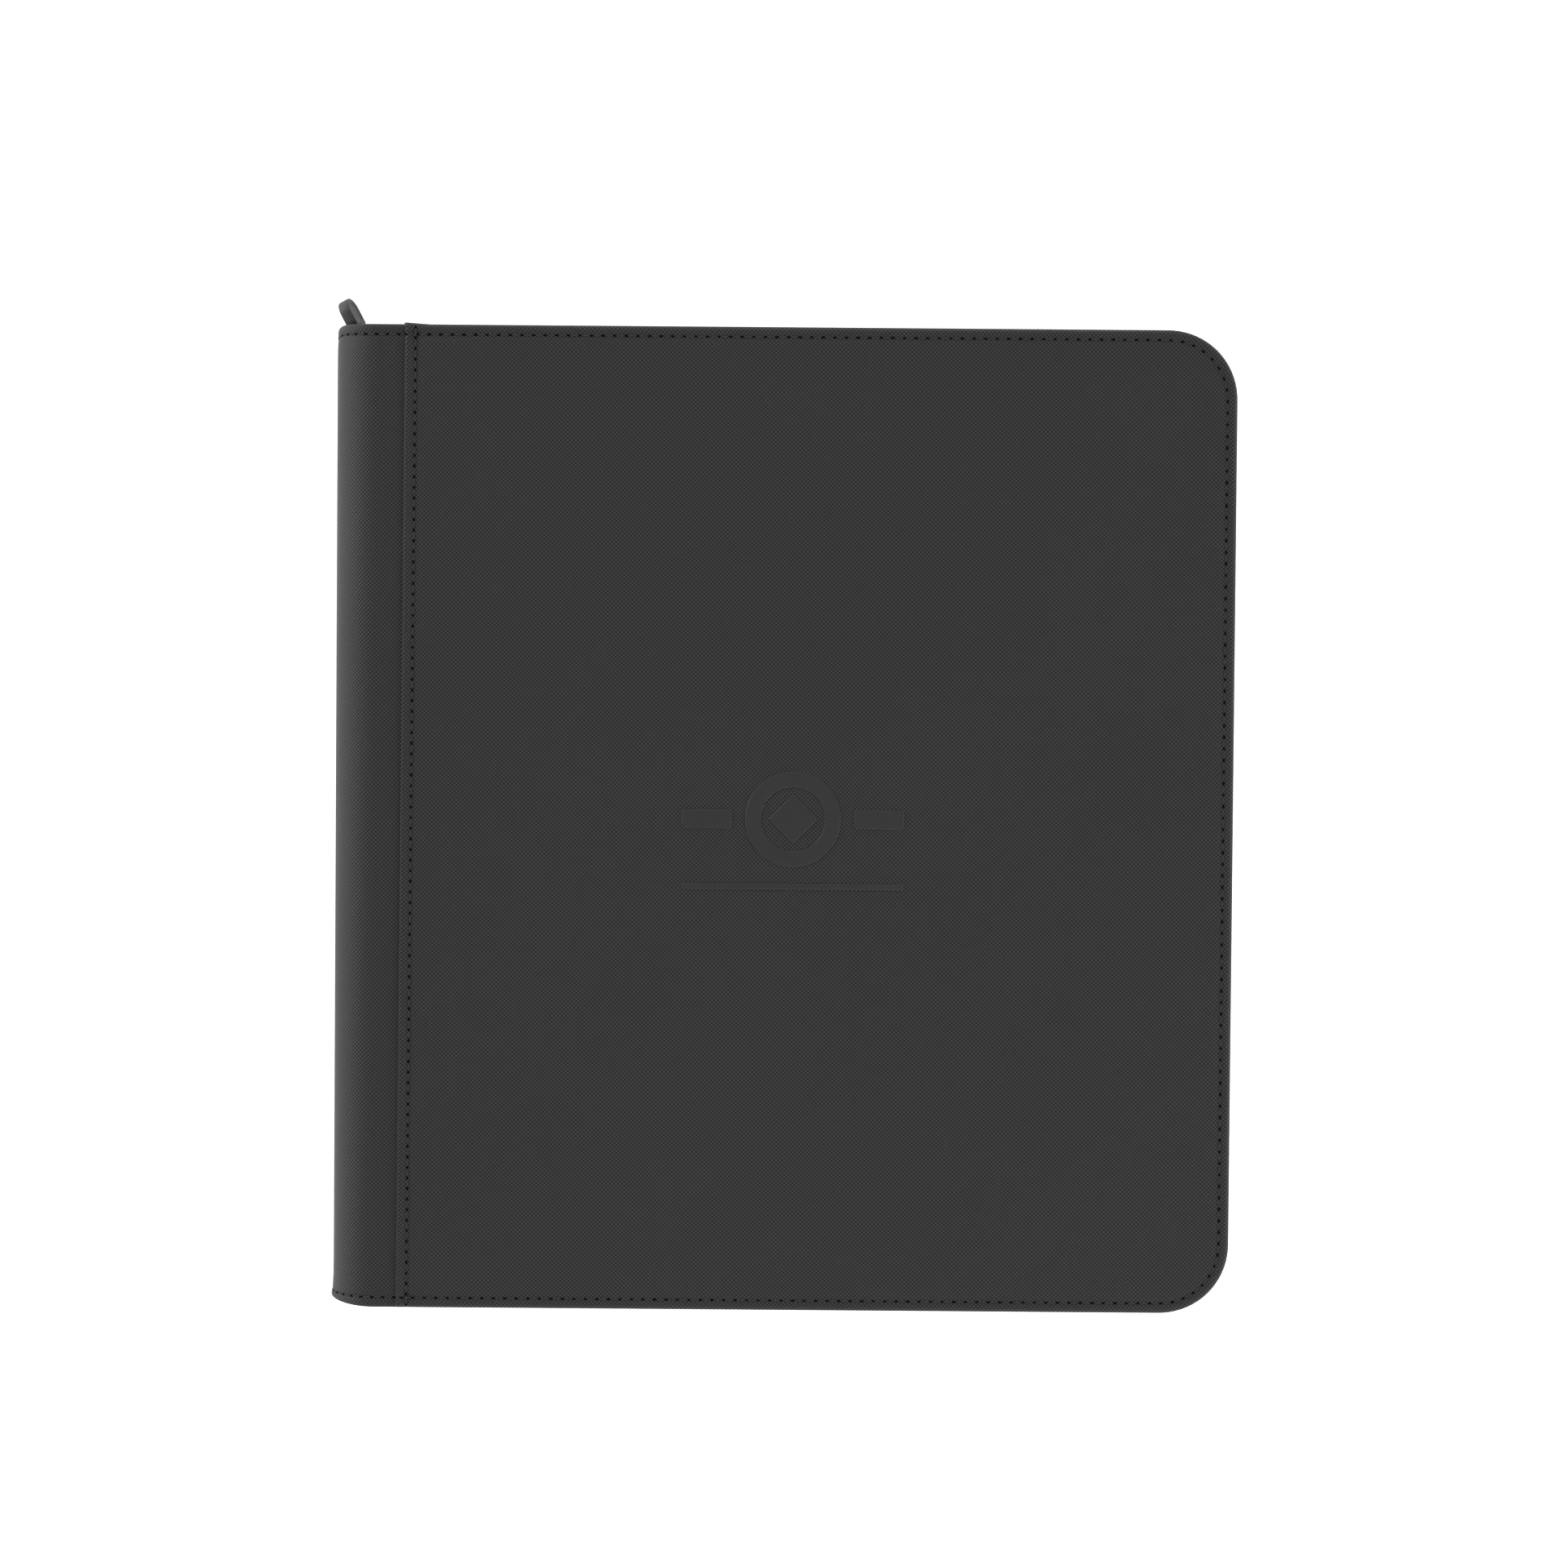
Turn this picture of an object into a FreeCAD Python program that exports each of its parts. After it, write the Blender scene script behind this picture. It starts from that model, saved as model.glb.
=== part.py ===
import FreeCAD, Part
import math
import os

import Sketcher

# Zip-around binder for trading cards, lying closed on its back cover.
#
# Frame: +X from the spine to the opening edge, +Y to the top of the pages, +Z from the back cover
# to the front cover. The origin is the centre of the back cover's underside. Millimetres.

DOCUMENT = FreeCAD.newDocument("card_binder")

# name, value, what it is
DIMENSIONS = (
    ("pocket_width", 66.5, "clear width of one card pocket"),
    ("pocket_height", 97.0, "clear height of one card pocket"),
    ("pocket_columns", 4.0, "pockets across a page"),
    ("pocket_rows", 3.0, "pockets up a page"),
    ("weld_width", 3.0, "weld between pockets and round the page"),
    ("binding_margin", 8.0, "plain strip of a page beside the binding"),
    ("page_corner_radius", 4.0, "rounding of a page's free corners"),
    ("sheet_thickness", 0.4, "backing sheet of a page"),
    ("film_thickness", 0.3, "clear pocket film on each side of a page"),
    ("leaf_film", 0.05, "pocket film of a middle page, pressed thin between the closed covers"),
    ("page_pitch", 1.28, "height that one page takes in a block"),
    ("pages_per_block", 9.0, "pages bound to each cover"),
    ("leaf_room", 2.56, "height of the gap that the two middle pages lie in"),
    ("leaf_offset", 0.75, "middle page's height above or below mid thickness"),
    ("binding_edge", 3.0, "width of the welded edge of a block of pages"),
    ("side_room", 2.6, "gap from the pages to the zip tape at the opening edge"),
    ("end_room", 14.1, "gap from the pages to the zip tape at top and bottom"),
    ("skin", 0.9, "outer cover material"),
    ("foam", 0.8, "padding under the skin"),
    ("board", 1.2, "stiff board of a cover"),
    ("lining", 0.3, "inner lining"),
    ("rim_wall", 1.2, "skin turned down round a cover's edge"),
    ("corner_radius", 24.6, "cover's outer corner"),
    ("seam_offset", 24.0, "from the spine's outer face to the cover's sewn edge"),
    ("spine_end_inset", 8.0, "spine's padding and lining stop short of its ends"),
    ("crease_share", 0.2146, "crease inset over spine radius, so the skin keeps its length"),
    ("bar_width", 3.2, "spine's binding bar, across"),
    ("bar_height", 4.0, "spine's binding bar, in thickness direction"),
    ("bar_gap", 0.3, "from the binding bar to a middle page"),
    ("tape_inset", 9.0, "middle of the zip tape inside the cover's edge"),
    ("tape_thickness", 0.8, "zip tape"),
    ("stringer_height", 2.4, "upper band of the tape that runs on into the spine"),
    ("coil_width", 1.6, "coil row outside the tape"),
    ("coil_height", 1.6, "coil row, up the tape"),
    ("row_gap", 1.0, "between the two coil rows"),
    ("coil_drop", 0.2, "tape's edge below the coil's edge"),
    ("tape_end_gap", 4.0, "tape's end to the spine's outer face"),
    ("slider_length", 12.0, "slider, along the zip"),
    ("slider_height", 5.2, "slider, across the zip"),
    ("slider_plate", 1.0, "slider's outer or inner plate"),
    ("slider_web", 0.6, "slider's divider between the rows"),
    ("slider_gap", 0.3, "slider plate to coil or tape"),
    ("pull_room", 1.9, "from the spine's skin to the leaning pull, at the cover's edge"),
    ("bail_offset", 4.0, "pull's pin to the slider's middle, towards the spine"),
    ("pin_radius", 0.6, "pull's pin"),
    ("pin_rise", 1.1, "pull's pin above the slider's outer plate"),
    ("pin_play", 0.06, "gap round the pin"),
    ("ear_width", 2.4, "lug that holds the pin"),
    ("ear_thickness", 0.8, "lug, along the pin"),
    ("eye_radius", 1.0, "pull's eye"),
    ("eye_gap", 0.3, "eye to lug"),
    ("neck_length", 4.4, "pin to the start of the moulded pull"),
    ("neck_width", 1.2, "pull's metal neck"),
    ("pull_length", 11.0, "moulded pull"),
    ("pull_width", 9.0, "moulded pull, across its broad face"),
    ("pull_thickness", 4.2, "moulded pull"),
    ("pull_edge", 1.4, "rounding of the pull's edges"),
    ("pull_lean", 28.0, "pull leans to the spine, degrees"),
    ("pull_roll", -17.0, "pull is rolled about its own length, degrees"),
    ("stop_length", 1.0, "metal stop at the end of the zip"),
    ("stop_gap", 0.3, "stop to the end of the coil"),
)


class Size:
    """A length that knows both its formula over the sheet and its present value."""

    def __init__(self, formula, value):
        self.formula = formula
        self.value = value

    @staticmethod
    def of(other):
        return other if isinstance(other, Size) else Size(repr(float(other)), float(other))

    def __add__(self, other):
        other = Size.of(other)
        return Size(f"({self.formula} + {other.formula})", self.value + other.value)

    def __sub__(self, other):
        other = Size.of(other)
        return Size(f"({self.formula} - {other.formula})", self.value - other.value)

    def __mul__(self, other):
        other = Size.of(other)
        return Size(f"({self.formula} * {other.formula})", self.value * other.value)

    def __truediv__(self, other):
        other = Size.of(other)
        return Size(f"({self.formula} / {other.formula})", self.value / other.value)

    def __neg__(self):
        return Size(f"(0 - {self.formula})", -self.value)


def turned(function, angle):
    """Sine, cosine or tangent of an angle in degrees."""
    return Size(f"{function}({angle.formula} * 1 deg)",
                getattr(math, function)(math.radians(angle.value)))


def make_sheet():
    """Write the driving dimensions and give each one as a Size by name."""
    sheet = DOCUMENT.addObject("Spreadsheet::Sheet", "sizes")
    named = {}
    for row, (name, value, meaning) in enumerate(DIMENSIONS, start=1):
        sheet.set(f"A{row}", meaning)
        sheet.set(f"B{row}", str(value))
        sheet.setAlias(f"B{row}", name)
        named[name] = Size(f"sizes.{name}", value)
    DOCUMENT.recompute()
    return named


D = make_sheet()
ZERO = Size.of(0)

# Worked-out sizes
COVER = D["skin"] + D["foam"] + D["board"] + D["lining"]
PAGE_WIDTH = (D["binding_margin"] + D["pocket_columns"] * D["pocket_width"]
              + (D["pocket_columns"] + 1) * D["weld_width"])
PAGE_HEIGHT = D["pocket_rows"] * D["pocket_height"] + (D["pocket_rows"] + 1) * D["weld_width"]
BLOCK = D["pages_per_block"] * D["page_pitch"]
THICKNESS = COVER * 2 + BLOCK * 2 + D["leaf_room"]
MIDDLE = THICKNESS / 2
SPINE_RADIUS = MIDDLE
TAPE_INNER = D["tape_inset"] + D["tape_thickness"] / 2
TAPE_OUTER = D["tape_inset"] - D["tape_thickness"] / 2
WIDTH = SPINE_RADIUS + D["binding_edge"] + PAGE_WIDTH + D["side_room"] + TAPE_INNER
HEIGHT = PAGE_HEIGHT + (D["end_room"] + TAPE_INNER) * 2
RIGHT = WIDTH / 2
TOP = HEIGHT / 2
SPINE_FACE = -RIGHT
SPINE_CENTRE = SPINE_FACE + SPINE_RADIUS
SEAM = SPINE_FACE + D["seam_offset"]
PAGE_LEFT = SPINE_CENTRE + D["binding_edge"]
PAGE_RIGHT = PAGE_LEFT + PAGE_WIDTH
ROW_EDGE = MIDDLE - D["row_gap"] / 2
# The covers fold about two lines just outside the spine, so that the skin keeps its length
CREASE_INSET = SPINE_RADIUS * D["crease_share"]

sub_parts = []


def bind(item, **formulas):
    """Bind properties of an object to sizes; a double underscore stands for a dot."""
    for name, size in formulas.items():
        item.setExpression(name.replace("__", "."), Size.of(size).formula)


def finished(item, label):
    item.Label = label
    sub_parts.append(item)
    return item


# ---------------------------------------------------------------- sketches and bodies


def origin_plane(body, role):
    for feature in body.Origin.OriginFeatures:
        if feature.Role == role:
            return feature
    raise ValueError(role)


def new_body(name):
    return DOCUMENT.addObject("PartDesign::Body", name)


def new_sketch(body, role="XY_Plane", rise=None):
    """A sketch on one of the body's own planes, lifted off it by rise."""
    sketch = body.newObject("Sketcher::SketchObject", "sketch")
    sketch.AttachmentSupport = (origin_plane(body, role), [""])
    sketch.MapMode = "FlatFace"
    if rise is not None:
        sketch.setExpression("AttachmentOffset.Base.z", rise.formula)
    return sketch


def at_distance(sketch, kind, first, second, size):
    """A distance from one point to another, bound to its size."""
    index = sketch.addConstraint(Sketcher.Constraint(kind, *first, *second, size.value))
    sketch.setExpression(f"Constraints[{index}]", size.formula)


def add_line(sketch, start, end):
    return sketch.addGeometry(Part.LineSegment(FreeCAD.Vector(*start, 0), FreeCAD.Vector(*end, 0)))


def add_arc(sketch, centre, radius, start, end):
    circle = Part.Circle(FreeCAD.Vector(*centre, 0), FreeCAD.Vector(0, 0, 1), radius)
    return sketch.addGeometry(Part.ArcOfCircle(circle, start, end))


QUARTER = math.pi / 2
ORIGIN_POINT = (-1, 1)
START, END = 1, 2


def open_outline(sketch, left, right, top, radius):
    """Bottom, opening and top edge of a cover outline, joined by two round corners.

    Gives the start point of the bottom edge and of the top edge.
    """
    far, high, low = right.value, top.value, -top.value
    bend = radius.value
    bottom = add_line(sketch, (left.value, low), (far - bend, low))
    low_arc = add_arc(sketch, (far - bend, low + bend), bend, -QUARTER, 0)
    side = add_line(sketch, (far, low + bend), (far, high - bend))
    high_arc = add_arc(sketch, (far - bend, high - bend), bend, 0, QUARTER)
    upper = add_line(sketch, (left.value, high), (far - bend, high))
    for first, second in (
        ((bottom, END), (low_arc, START)),
        ((low_arc, END), (side, START)),
        ((side, END), (high_arc, START)),
        ((high_arc, END), (upper, END)),
    ):
        sketch.addConstraint(Sketcher.Constraint("Tangent", *first, *second))
    sketch.addConstraint(Sketcher.Constraint("Horizontal", bottom))
    sketch.addConstraint(Sketcher.Constraint("Horizontal", upper))
    sketch.addConstraint(Sketcher.Constraint("Vertical", side))
    for arc in (low_arc, high_arc):
        index = sketch.addConstraint(Sketcher.Constraint("Radius", arc, bend))
        sketch.setExpression(f"Constraints[{index}]", radius.formula)
    at_distance(sketch, "DistanceX", ORIGIN_POINT, (side, START), right)
    at_distance(sketch, "DistanceY", ORIGIN_POINT, (upper, START), top)
    at_distance(sketch, "DistanceY", (bottom, START), ORIGIN_POINT, top)
    at_distance(sketch, "DistanceX", (bottom, START), ORIGIN_POINT, -left)
    return (bottom, START), (upper, START)


def closing_line(sketch, first, second, first_place, second_place):
    """A straight edge between two points that are already there."""
    line = add_line(sketch, first_place, second_place)
    sketch.addConstraint(Sketcher.Constraint("Coincident", line, START, *first))
    sketch.addConstraint(Sketcher.Constraint("Coincident", line, END, *second))
    sketch.addConstraint(Sketcher.Constraint("Vertical", line))


def closed_outline(sketch, left, right, top, radius):
    low, high = open_outline(sketch, left, right, top, radius)
    closing_line(sketch, low, high, (left.value, -top.value), (left.value, top.value))


def u_outline(sketch, left, right, top, radius, wall):
    """A wall that follows the bottom, opening and top edge and is open at the spine."""
    outer_low, outer_high = open_outline(sketch, left, right, top, radius)
    inner_low, inner_high = open_outline(sketch, left, right - wall, top - wall, radius - wall)
    near, rise, inside = left.value, top.value, (top - wall).value
    for first, second, begin, stop in (
        (outer_low, inner_low, -rise, -inside),
        (outer_high, inner_high, rise, inside),
    ):
        line = add_line(sketch, (near, begin), (near, stop))
        sketch.addConstraint(Sketcher.Constraint("Coincident", line, START, *first))
        sketch.addConstraint(Sketcher.Constraint("Coincident", line, END, *second))


def pad(body, sketch, length):
    feature = body.newObject("PartDesign::Pad", "pad")
    feature.Profile = sketch
    bind(feature, Length=length)
    sketch.Visibility = False
    return feature


def plate(label, left, inset, radius, thickness, rise, right=RIGHT, top=TOP):
    """A flat sheet with two round corners at the opening edge."""
    body = new_body(label)
    sketch = new_sketch(body)
    closed_outline(sketch, left, right - inset, top - inset, radius)
    pad(body, sketch, thickness)
    bind(body, Placement__Base__z=rise)
    return finished(body, label)


def u_wall(label, bands, inset, wall):
    """A zip tape or coil row; each band is (left end, bottom, height)."""
    body = new_body(label)
    outer = inset - wall / 2
    for left, bottom, height in bands:
        sketch = new_sketch(body, rise=bottom)
        u_outline(sketch, left, RIGHT - outer, TOP - outer, D["corner_radius"] - outer, wall)
        pad(body, sketch, height)
    return finished(body, label)


def box(name, low, size):
    """A box from its low corner and its three sizes."""
    item = DOCUMENT.addObject("Part::Box", name)
    bind(item, Length=size[0], Width=size[1], Height=size[2], Placement__Base__x=low[0],
         Placement__Base__y=low[1], Placement__Base__z=low[2])
    return item


def from_solids(kind, label, *items):
    """A boolean of two solids or more."""
    item = DOCUMENT.addObject(kind, label)
    if kind in ("Part::Cut", "Part::Common"):
        item.Base, item.Tool = items
    elif kind == "Part::MultiFuse":
        item.Shapes = list(items)
        item.Refine = True
    else:
        item.Links = list(items)
    return item


# ---------------------------------------------------------------- covers


def turned_over(body):
    """Turn a back cover piece over so that it is the front cover's."""
    body.Placement.Rotation = FreeCAD.Rotation(FreeCAD.Vector(1, 0, 0), 180)


def cover_skin(side):
    """Outer skin with its edge turned down all round the cover."""
    body = new_body(f"{side}_skin")
    face = new_sketch(body)
    closed_outline(face, SEAM, RIGHT, TOP, D["corner_radius"])
    pad(body, face, D["skin"])
    edge = new_sketch(body)
    closed_outline(edge, SEAM, RIGHT, TOP, D["corner_radius"])
    wall = D["rim_wall"]
    closed_outline(edge, SEAM + wall, RIGHT - wall, TOP - wall, D["corner_radius"] - wall)
    pad(body, edge, COVER)
    if side == "front":
        turned_over(body)
        bind(body, Placement__Base__z=THICKNESS)
    return finished(body, f"{side}_skin")


def cover_layers(side):
    """Foam, board and lining inside the turned-down skin."""
    level = D["skin"]
    wall = D["rim_wall"]
    for name in ("foam", "board", "lining"):
        depth = D[name]
        rise = level if side == "back" else THICKNESS - level - depth
        plate(f"{side}_{name}", SEAM + wall, wall, D["corner_radius"] - wall, depth, rise)
        level = level + depth


# ---------------------------------------------------------------- spine

SECTOR = 45.0
SPINE_START = {"back": 90.0, "centre": 135.0, "front": 225.0}


def sector(name, radius, start, sweep, end):
    """Part of a round bar along the spine; start turns from +X towards -Z."""
    item = DOCUMENT.addObject("Part::Cylinder", name)
    item.Angle = sweep
    bind(item, Radius=radius, Height=end * 2, Placement__Base__x=SPINE_CENTRE,
         Placement__Base__y=-end, Placement__Base__z=MIDDLE)
    along = FreeCAD.Rotation(FreeCAD.Vector(1, 0, 0), -90)
    spin = FreeCAD.Rotation(FreeCAD.Vector(0, 0, 1), start)
    item.Placement.Rotation = along.multiply(spin)
    return item


def curved_layer(name, layer, start, sweep):
    """One layer of the rounded spine: its two depths below the outer face and its end."""
    outer, inner, end = layer
    solid = sector(f"{name}_outside", SPINE_RADIUS - outer, start, sweep, end)
    core = sector(f"{name}_core", SPINE_RADIUS - inner, start, sweep, end)
    return from_solids("Part::Cut", name, solid, core)


def crease_layer(label, side, layer):
    """A layer that runs from the cover's sewn edge round to the crease."""
    outer, inner, end = layer
    curve = curved_layer(f"{label}_curve", layer, SPINE_START[side], SECTOR)
    rise = outer if side == "back" else THICKNESS - inner
    strip = box(f"{label}_strip", (SPINE_CENTRE, -end, rise),
                (SEAM - SPINE_CENTRE, end * 2, inner - outer))
    return finished(from_solids("Part::MultiFuse", label, curve, strip), label)


def spine_layers():
    """Wrap, padding and lining, each in a back, centre and front stretch."""
    short = TOP - D["spine_end_inset"]
    layers = {
        "wrap": (ZERO, D["skin"], TOP),
        "padding": (D["skin"], COVER - D["lining"], short),
        "lining": (COVER - D["lining"], COVER, short),
    }
    for name, layer in layers.items():
        crease_layer(f"crease_{name}_back", "back", layer)
        crease_layer(f"crease_{name}_front", "front", layer)
        label = f"spine_{name}"
        finished(curved_layer(label, layer, SPINE_START["centre"], SECTOR * 2), label)


# ---------------------------------------------------------------- pages


def page_sheet(number, left, height):
    """Backing sheet of one page, centred at a height."""
    plate(f"page_{number:02d}", left, ZERO, D["page_corner_radius"], D["sheet_thickness"],
          height - D["sheet_thickness"] / 2, right=PAGE_RIGHT, top=PAGE_HEIGHT / 2)


def page_films(number, height):
    """Clear pocket film on both faces of a page, inside its outer welds."""
    weld = D["weld_width"]
    left = PAGE_LEFT + D["binding_margin"]
    low = -(PAGE_HEIGHT / 2) + weld
    size = (PAGE_RIGHT - weld - left, PAGE_HEIGHT - weld * 2, D["film_thickness"])
    half = D["sheet_thickness"] / 2
    upper = box(f"film_{number}_upper", (left, low, height + half), size)
    lower = box(f"film_{number}_lower", (left, low, height - half - D["film_thickness"]), size)
    return [upper, lower]


def page_block(side, first_number):
    """Nine bound pages that belong to one cover."""
    count = int(D["pages_per_block"].value)
    base = COVER if side == "back" else MIDDLE + D["leaf_room"] / 2
    films = []
    for index in range(count):
        height = base + D["page_pitch"] * (index + 0.5)
        page_sheet(first_number + index, PAGE_LEFT, height)
        films += page_films(first_number + index, height)
    label = f"pocket_films_{side}"
    finished(from_solids("Part::Compound", label, *films), label)
    finished(box(f"binding_edge_{side}", (SPINE_CENTRE, -(PAGE_HEIGHT / 2), base),
                 (D["binding_edge"], PAGE_HEIGHT, BLOCK)), f"binding_edge_{side}")


def middle_pages():
    """The two middle pages, hinged on the spine's binding bar."""
    left = SPINE_FACE + COVER + D["bar_width"] + D["bar_gap"]
    for number, height in ((10, MIDDLE - D["leaf_offset"]), (11, MIDDLE + D["leaf_offset"])):
        page_sheet(number, left, height)
        label = f"pocket_films_page_{number}"
        thin = leaf_films(number, height)
        finished(from_solids("Part::Compound", label, *thin), label)


def leaf_films(number, height):
    """Pocket film of a middle page, pressed thin so that the closed covers meet."""
    films = page_films(number, height)
    half = D["sheet_thickness"] / 2
    thin = D["leaf_film"]
    for film, rise in zip(films, (height + half, height - half - thin)):
        bind(film, Height=thin, Placement__Base__z=rise)
    return films


def binding_bar():
    """The strip inside the spine that the middle pages are welded to."""
    rise = MIDDLE - D["bar_height"] / 2
    half = PAGE_HEIGHT / 2
    block = box("binding_bar_block", (SPINE_FACE, -half, rise),
                (COVER + D["bar_width"], PAGE_HEIGHT, D["bar_height"]))
    inside = sector("binding_bar_inside", SPINE_RADIUS - COVER, SPINE_START["centre"], SECTOR * 2, half)
    finished(from_solids("Part::Common", "binding_bar", block, inside), "binding_bar")


# ---------------------------------------------------------------- zip


def zip_rows():
    """Tape and coil row of each cover, with metal stops at the spine's ends."""
    start = SPINE_FACE + D["tape_end_gap"]
    coil_start = start + D["stop_length"] + D["stop_gap"]
    tape_top = ROW_EDGE - D["coil_drop"]
    coil_inset = TAPE_OUTER - D["coil_width"] / 2
    band = D["stringer_height"]
    back = ((SPINE_CENTRE, COVER, tape_top - COVER), (start, tape_top - band, band))
    front = ((SPINE_CENTRE, THICKNESS - tape_top, tape_top - COVER),
             (start, THICKNESS - tape_top, band))
    u_wall("zip_tape_back", back, D["tape_inset"], D["tape_thickness"])
    u_wall("zip_tape_front", front, D["tape_inset"], D["tape_thickness"])
    coil = D["coil_height"]
    u_wall("zip_coil_back", ((coil_start, ROW_EDGE - coil, coil),), coil_inset, D["coil_width"])
    u_wall("zip_coil_front", ((coil_start, THICKNESS - ROW_EDGE, coil),), coil_inset, D["coil_width"])
    size = (D["stop_length"], D["coil_width"], coil)
    for end, low in (("top", TOP - TAPE_OUTER), ("bottom", -TOP + TAPE_OUTER - D["coil_width"])):
        label = f"zip_stop_{end}"
        finished(box(label, (start, low, ROW_EDGE - coil - D["coil_drop"]), size), label)


OUTER_PLATE_Y = TOP - TAPE_OUTER + D["coil_width"] + D["slider_gap"]
INNER_PLATE_Y = TOP - TAPE_INNER - D["slider_gap"] - D["slider_plate"]
PLATE_TOP_Y = OUTER_PLATE_Y + D["slider_plate"]
PIN_Y = PLATE_TOP_Y + D["pin_rise"]
# The slider is parked so that its leaning pull just clears the spine where it comes out
PULL_HALF_DEPTH = (D["pull_thickness"] / 2 * turned("cos", D["pull_roll"])
                   - D["pull_width"] / 2 * turned("sin", D["pull_roll"]))
PIN_X = (SPINE_FACE + D["skin"] + D["pull_room"] + (TOP - PIN_Y) * turned("tan", D["pull_lean"])
         + PULL_HALF_DEPTH / turned("cos", D["pull_lean"]))
SLIDER_X = PIN_X + D["bail_offset"]


def upright(name, radius, length, bottom):
    """A round bar on the pin's axis."""
    item = DOCUMENT.addObject("Part::Cylinder", name)
    bind(item, Radius=radius, Height=length, Placement__Base__x=PIN_X, Placement__Base__y=PIN_Y,
         Placement__Base__z=bottom)
    return item


def slider():
    """Slider body: two plates, the divider between the rows and two lugs for the pin."""
    left = SLIDER_X - D["slider_length"] / 2
    rise = MIDDLE - D["slider_height"] / 2
    size = (D["slider_length"], D["slider_plate"], D["slider_height"])
    outer = box("slider_outer_plate", (left, OUTER_PLATE_Y, rise), size)
    inner = box("slider_inner_plate", (left, INNER_PLATE_Y, rise), size)
    web = box("slider_divider", (left, INNER_PLATE_Y, MIDDLE - D["slider_web"] / 2),
              (D["slider_length"] / 3, PLATE_TOP_Y - INNER_PLATE_Y, D["slider_web"]))
    lugs = []
    reach = D["pin_rise"] + D["ear_width"] / 2
    for name, low in (("upper", MIDDLE + D["slider_height"] / 2 - D["ear_thickness"]), ("lower", rise)):
        lugs.append(box(f"slider_lug_{name}", (PIN_X - D["ear_width"] / 2, PLATE_TOP_Y, low),
                        (D["ear_width"], reach, D["ear_thickness"])))
    whole = from_solids("Part::MultiFuse", "slider_whole", outer, inner, web, *lugs)
    hole = upright("slider_pin_hole", D["pin_radius"], D["slider_height"], rise)
    finished(from_solids("Part::Cut", "slider_body", whole, hole), "slider_body")
    finished(upright("slider_pin", D["pin_radius"], D["slider_height"], rise), "slider_pin")


def lean_and_roll(item, roll):
    """Place a piece that was drawn along +Y from the pin."""
    lean = FreeCAD.Rotation(FreeCAD.Vector(0, 0, 1), D["pull_lean"].value)
    turn = FreeCAD.Rotation(FreeCAD.Vector(0, 1, 0), roll)
    item.Placement.Rotation = lean.multiply(turn)
    bind(item, Placement__Base__x=PIN_X, Placement__Base__y=PIN_Y, Placement__Base__z=MIDDLE)


def pull_eye():
    """Metal eye round the pin, with the flat neck that the pull is moulded on."""
    length = D["slider_height"] - (D["ear_thickness"] + D["eye_gap"]) * 2
    ring = upright("pull_eye_ring", D["eye_radius"], length, MIDDLE - length / 2)
    neck = box("pull_neck", (-(D["neck_width"] / 2), ZERO, -(length / 2)),
               (D["neck_width"], D["neck_length"], length))
    lifted = DOCUMENT.addObject("Part::Compound", "pull_neck_leaning")
    lifted.Links = [neck]
    lean_and_roll(lifted, 0)
    whole = from_solids("Part::MultiFuse", "pull_eye_whole", ring, lifted)
    hole = upright("pull_eye_hole", D["pin_radius"] + D["pin_play"], length, MIDDLE - length / 2)
    finished(from_solids("Part::Cut", "pull_eye", whole, hole), "pull_eye")


def pull_tab():
    """Moulded rubber pull: a thick tongue with a round end and soft edges."""
    body = new_body("pull_tab")
    sketch = new_sketch(body, "YZ_Plane", rise=-(D["pull_thickness"] / 2))
    near, half, reach = D["neck_length"], D["pull_width"] / 2, D["pull_length"]
    bend = half
    low = add_line(sketch, (near.value, -half.value), ((near + reach - bend).value, -half.value))
    end = add_arc(sketch, ((near + reach - bend).value, 0), bend.value, -QUARTER, QUARTER)
    high = add_line(sketch, (near.value, half.value), ((near + reach - bend).value, half.value))
    sketch.addConstraint(Sketcher.Constraint("Tangent", low, END, end, START))
    sketch.addConstraint(Sketcher.Constraint("Tangent", end, END, high, END))
    sketch.addConstraint(Sketcher.Constraint("Horizontal", low))
    sketch.addConstraint(Sketcher.Constraint("Horizontal", high))
    closing_line(sketch, (low, START), (high, START), (near.value, -half.value),
                 (near.value, half.value))
    at_distance(sketch, "DistanceX", ORIGIN_POINT, (low, START), near)
    at_distance(sketch, "DistanceY", (low, START), ORIGIN_POINT, half)
    at_distance(sketch, "DistanceY", ORIGIN_POINT, (high, START), half)
    at_distance(sketch, "DistanceX", ORIGIN_POINT, (end, 3), near + reach - bend)
    solid = pad(body, sketch, D["pull_thickness"])
    DOCUMENT.recompute()
    edges = []
    for index, edge in enumerate(solid.Shape.Edges, start=1):
        bounds = edge.BoundBox
        if bounds.XLength < 0.01 and bounds.YMax > near.value + 0.01:
            edges.append(f"Edge{index}")
    fillet = body.newObject("PartDesign::Fillet", "soft_edges")
    fillet.Base = (solid, edges)
    bind(fillet, Radius=D["pull_edge"])
    body.Tip = fillet
    lean_and_roll(body, D["pull_roll"].value)
    finished(body, "pull_tab")


# ---------------------------------------------------------------- build


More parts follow.
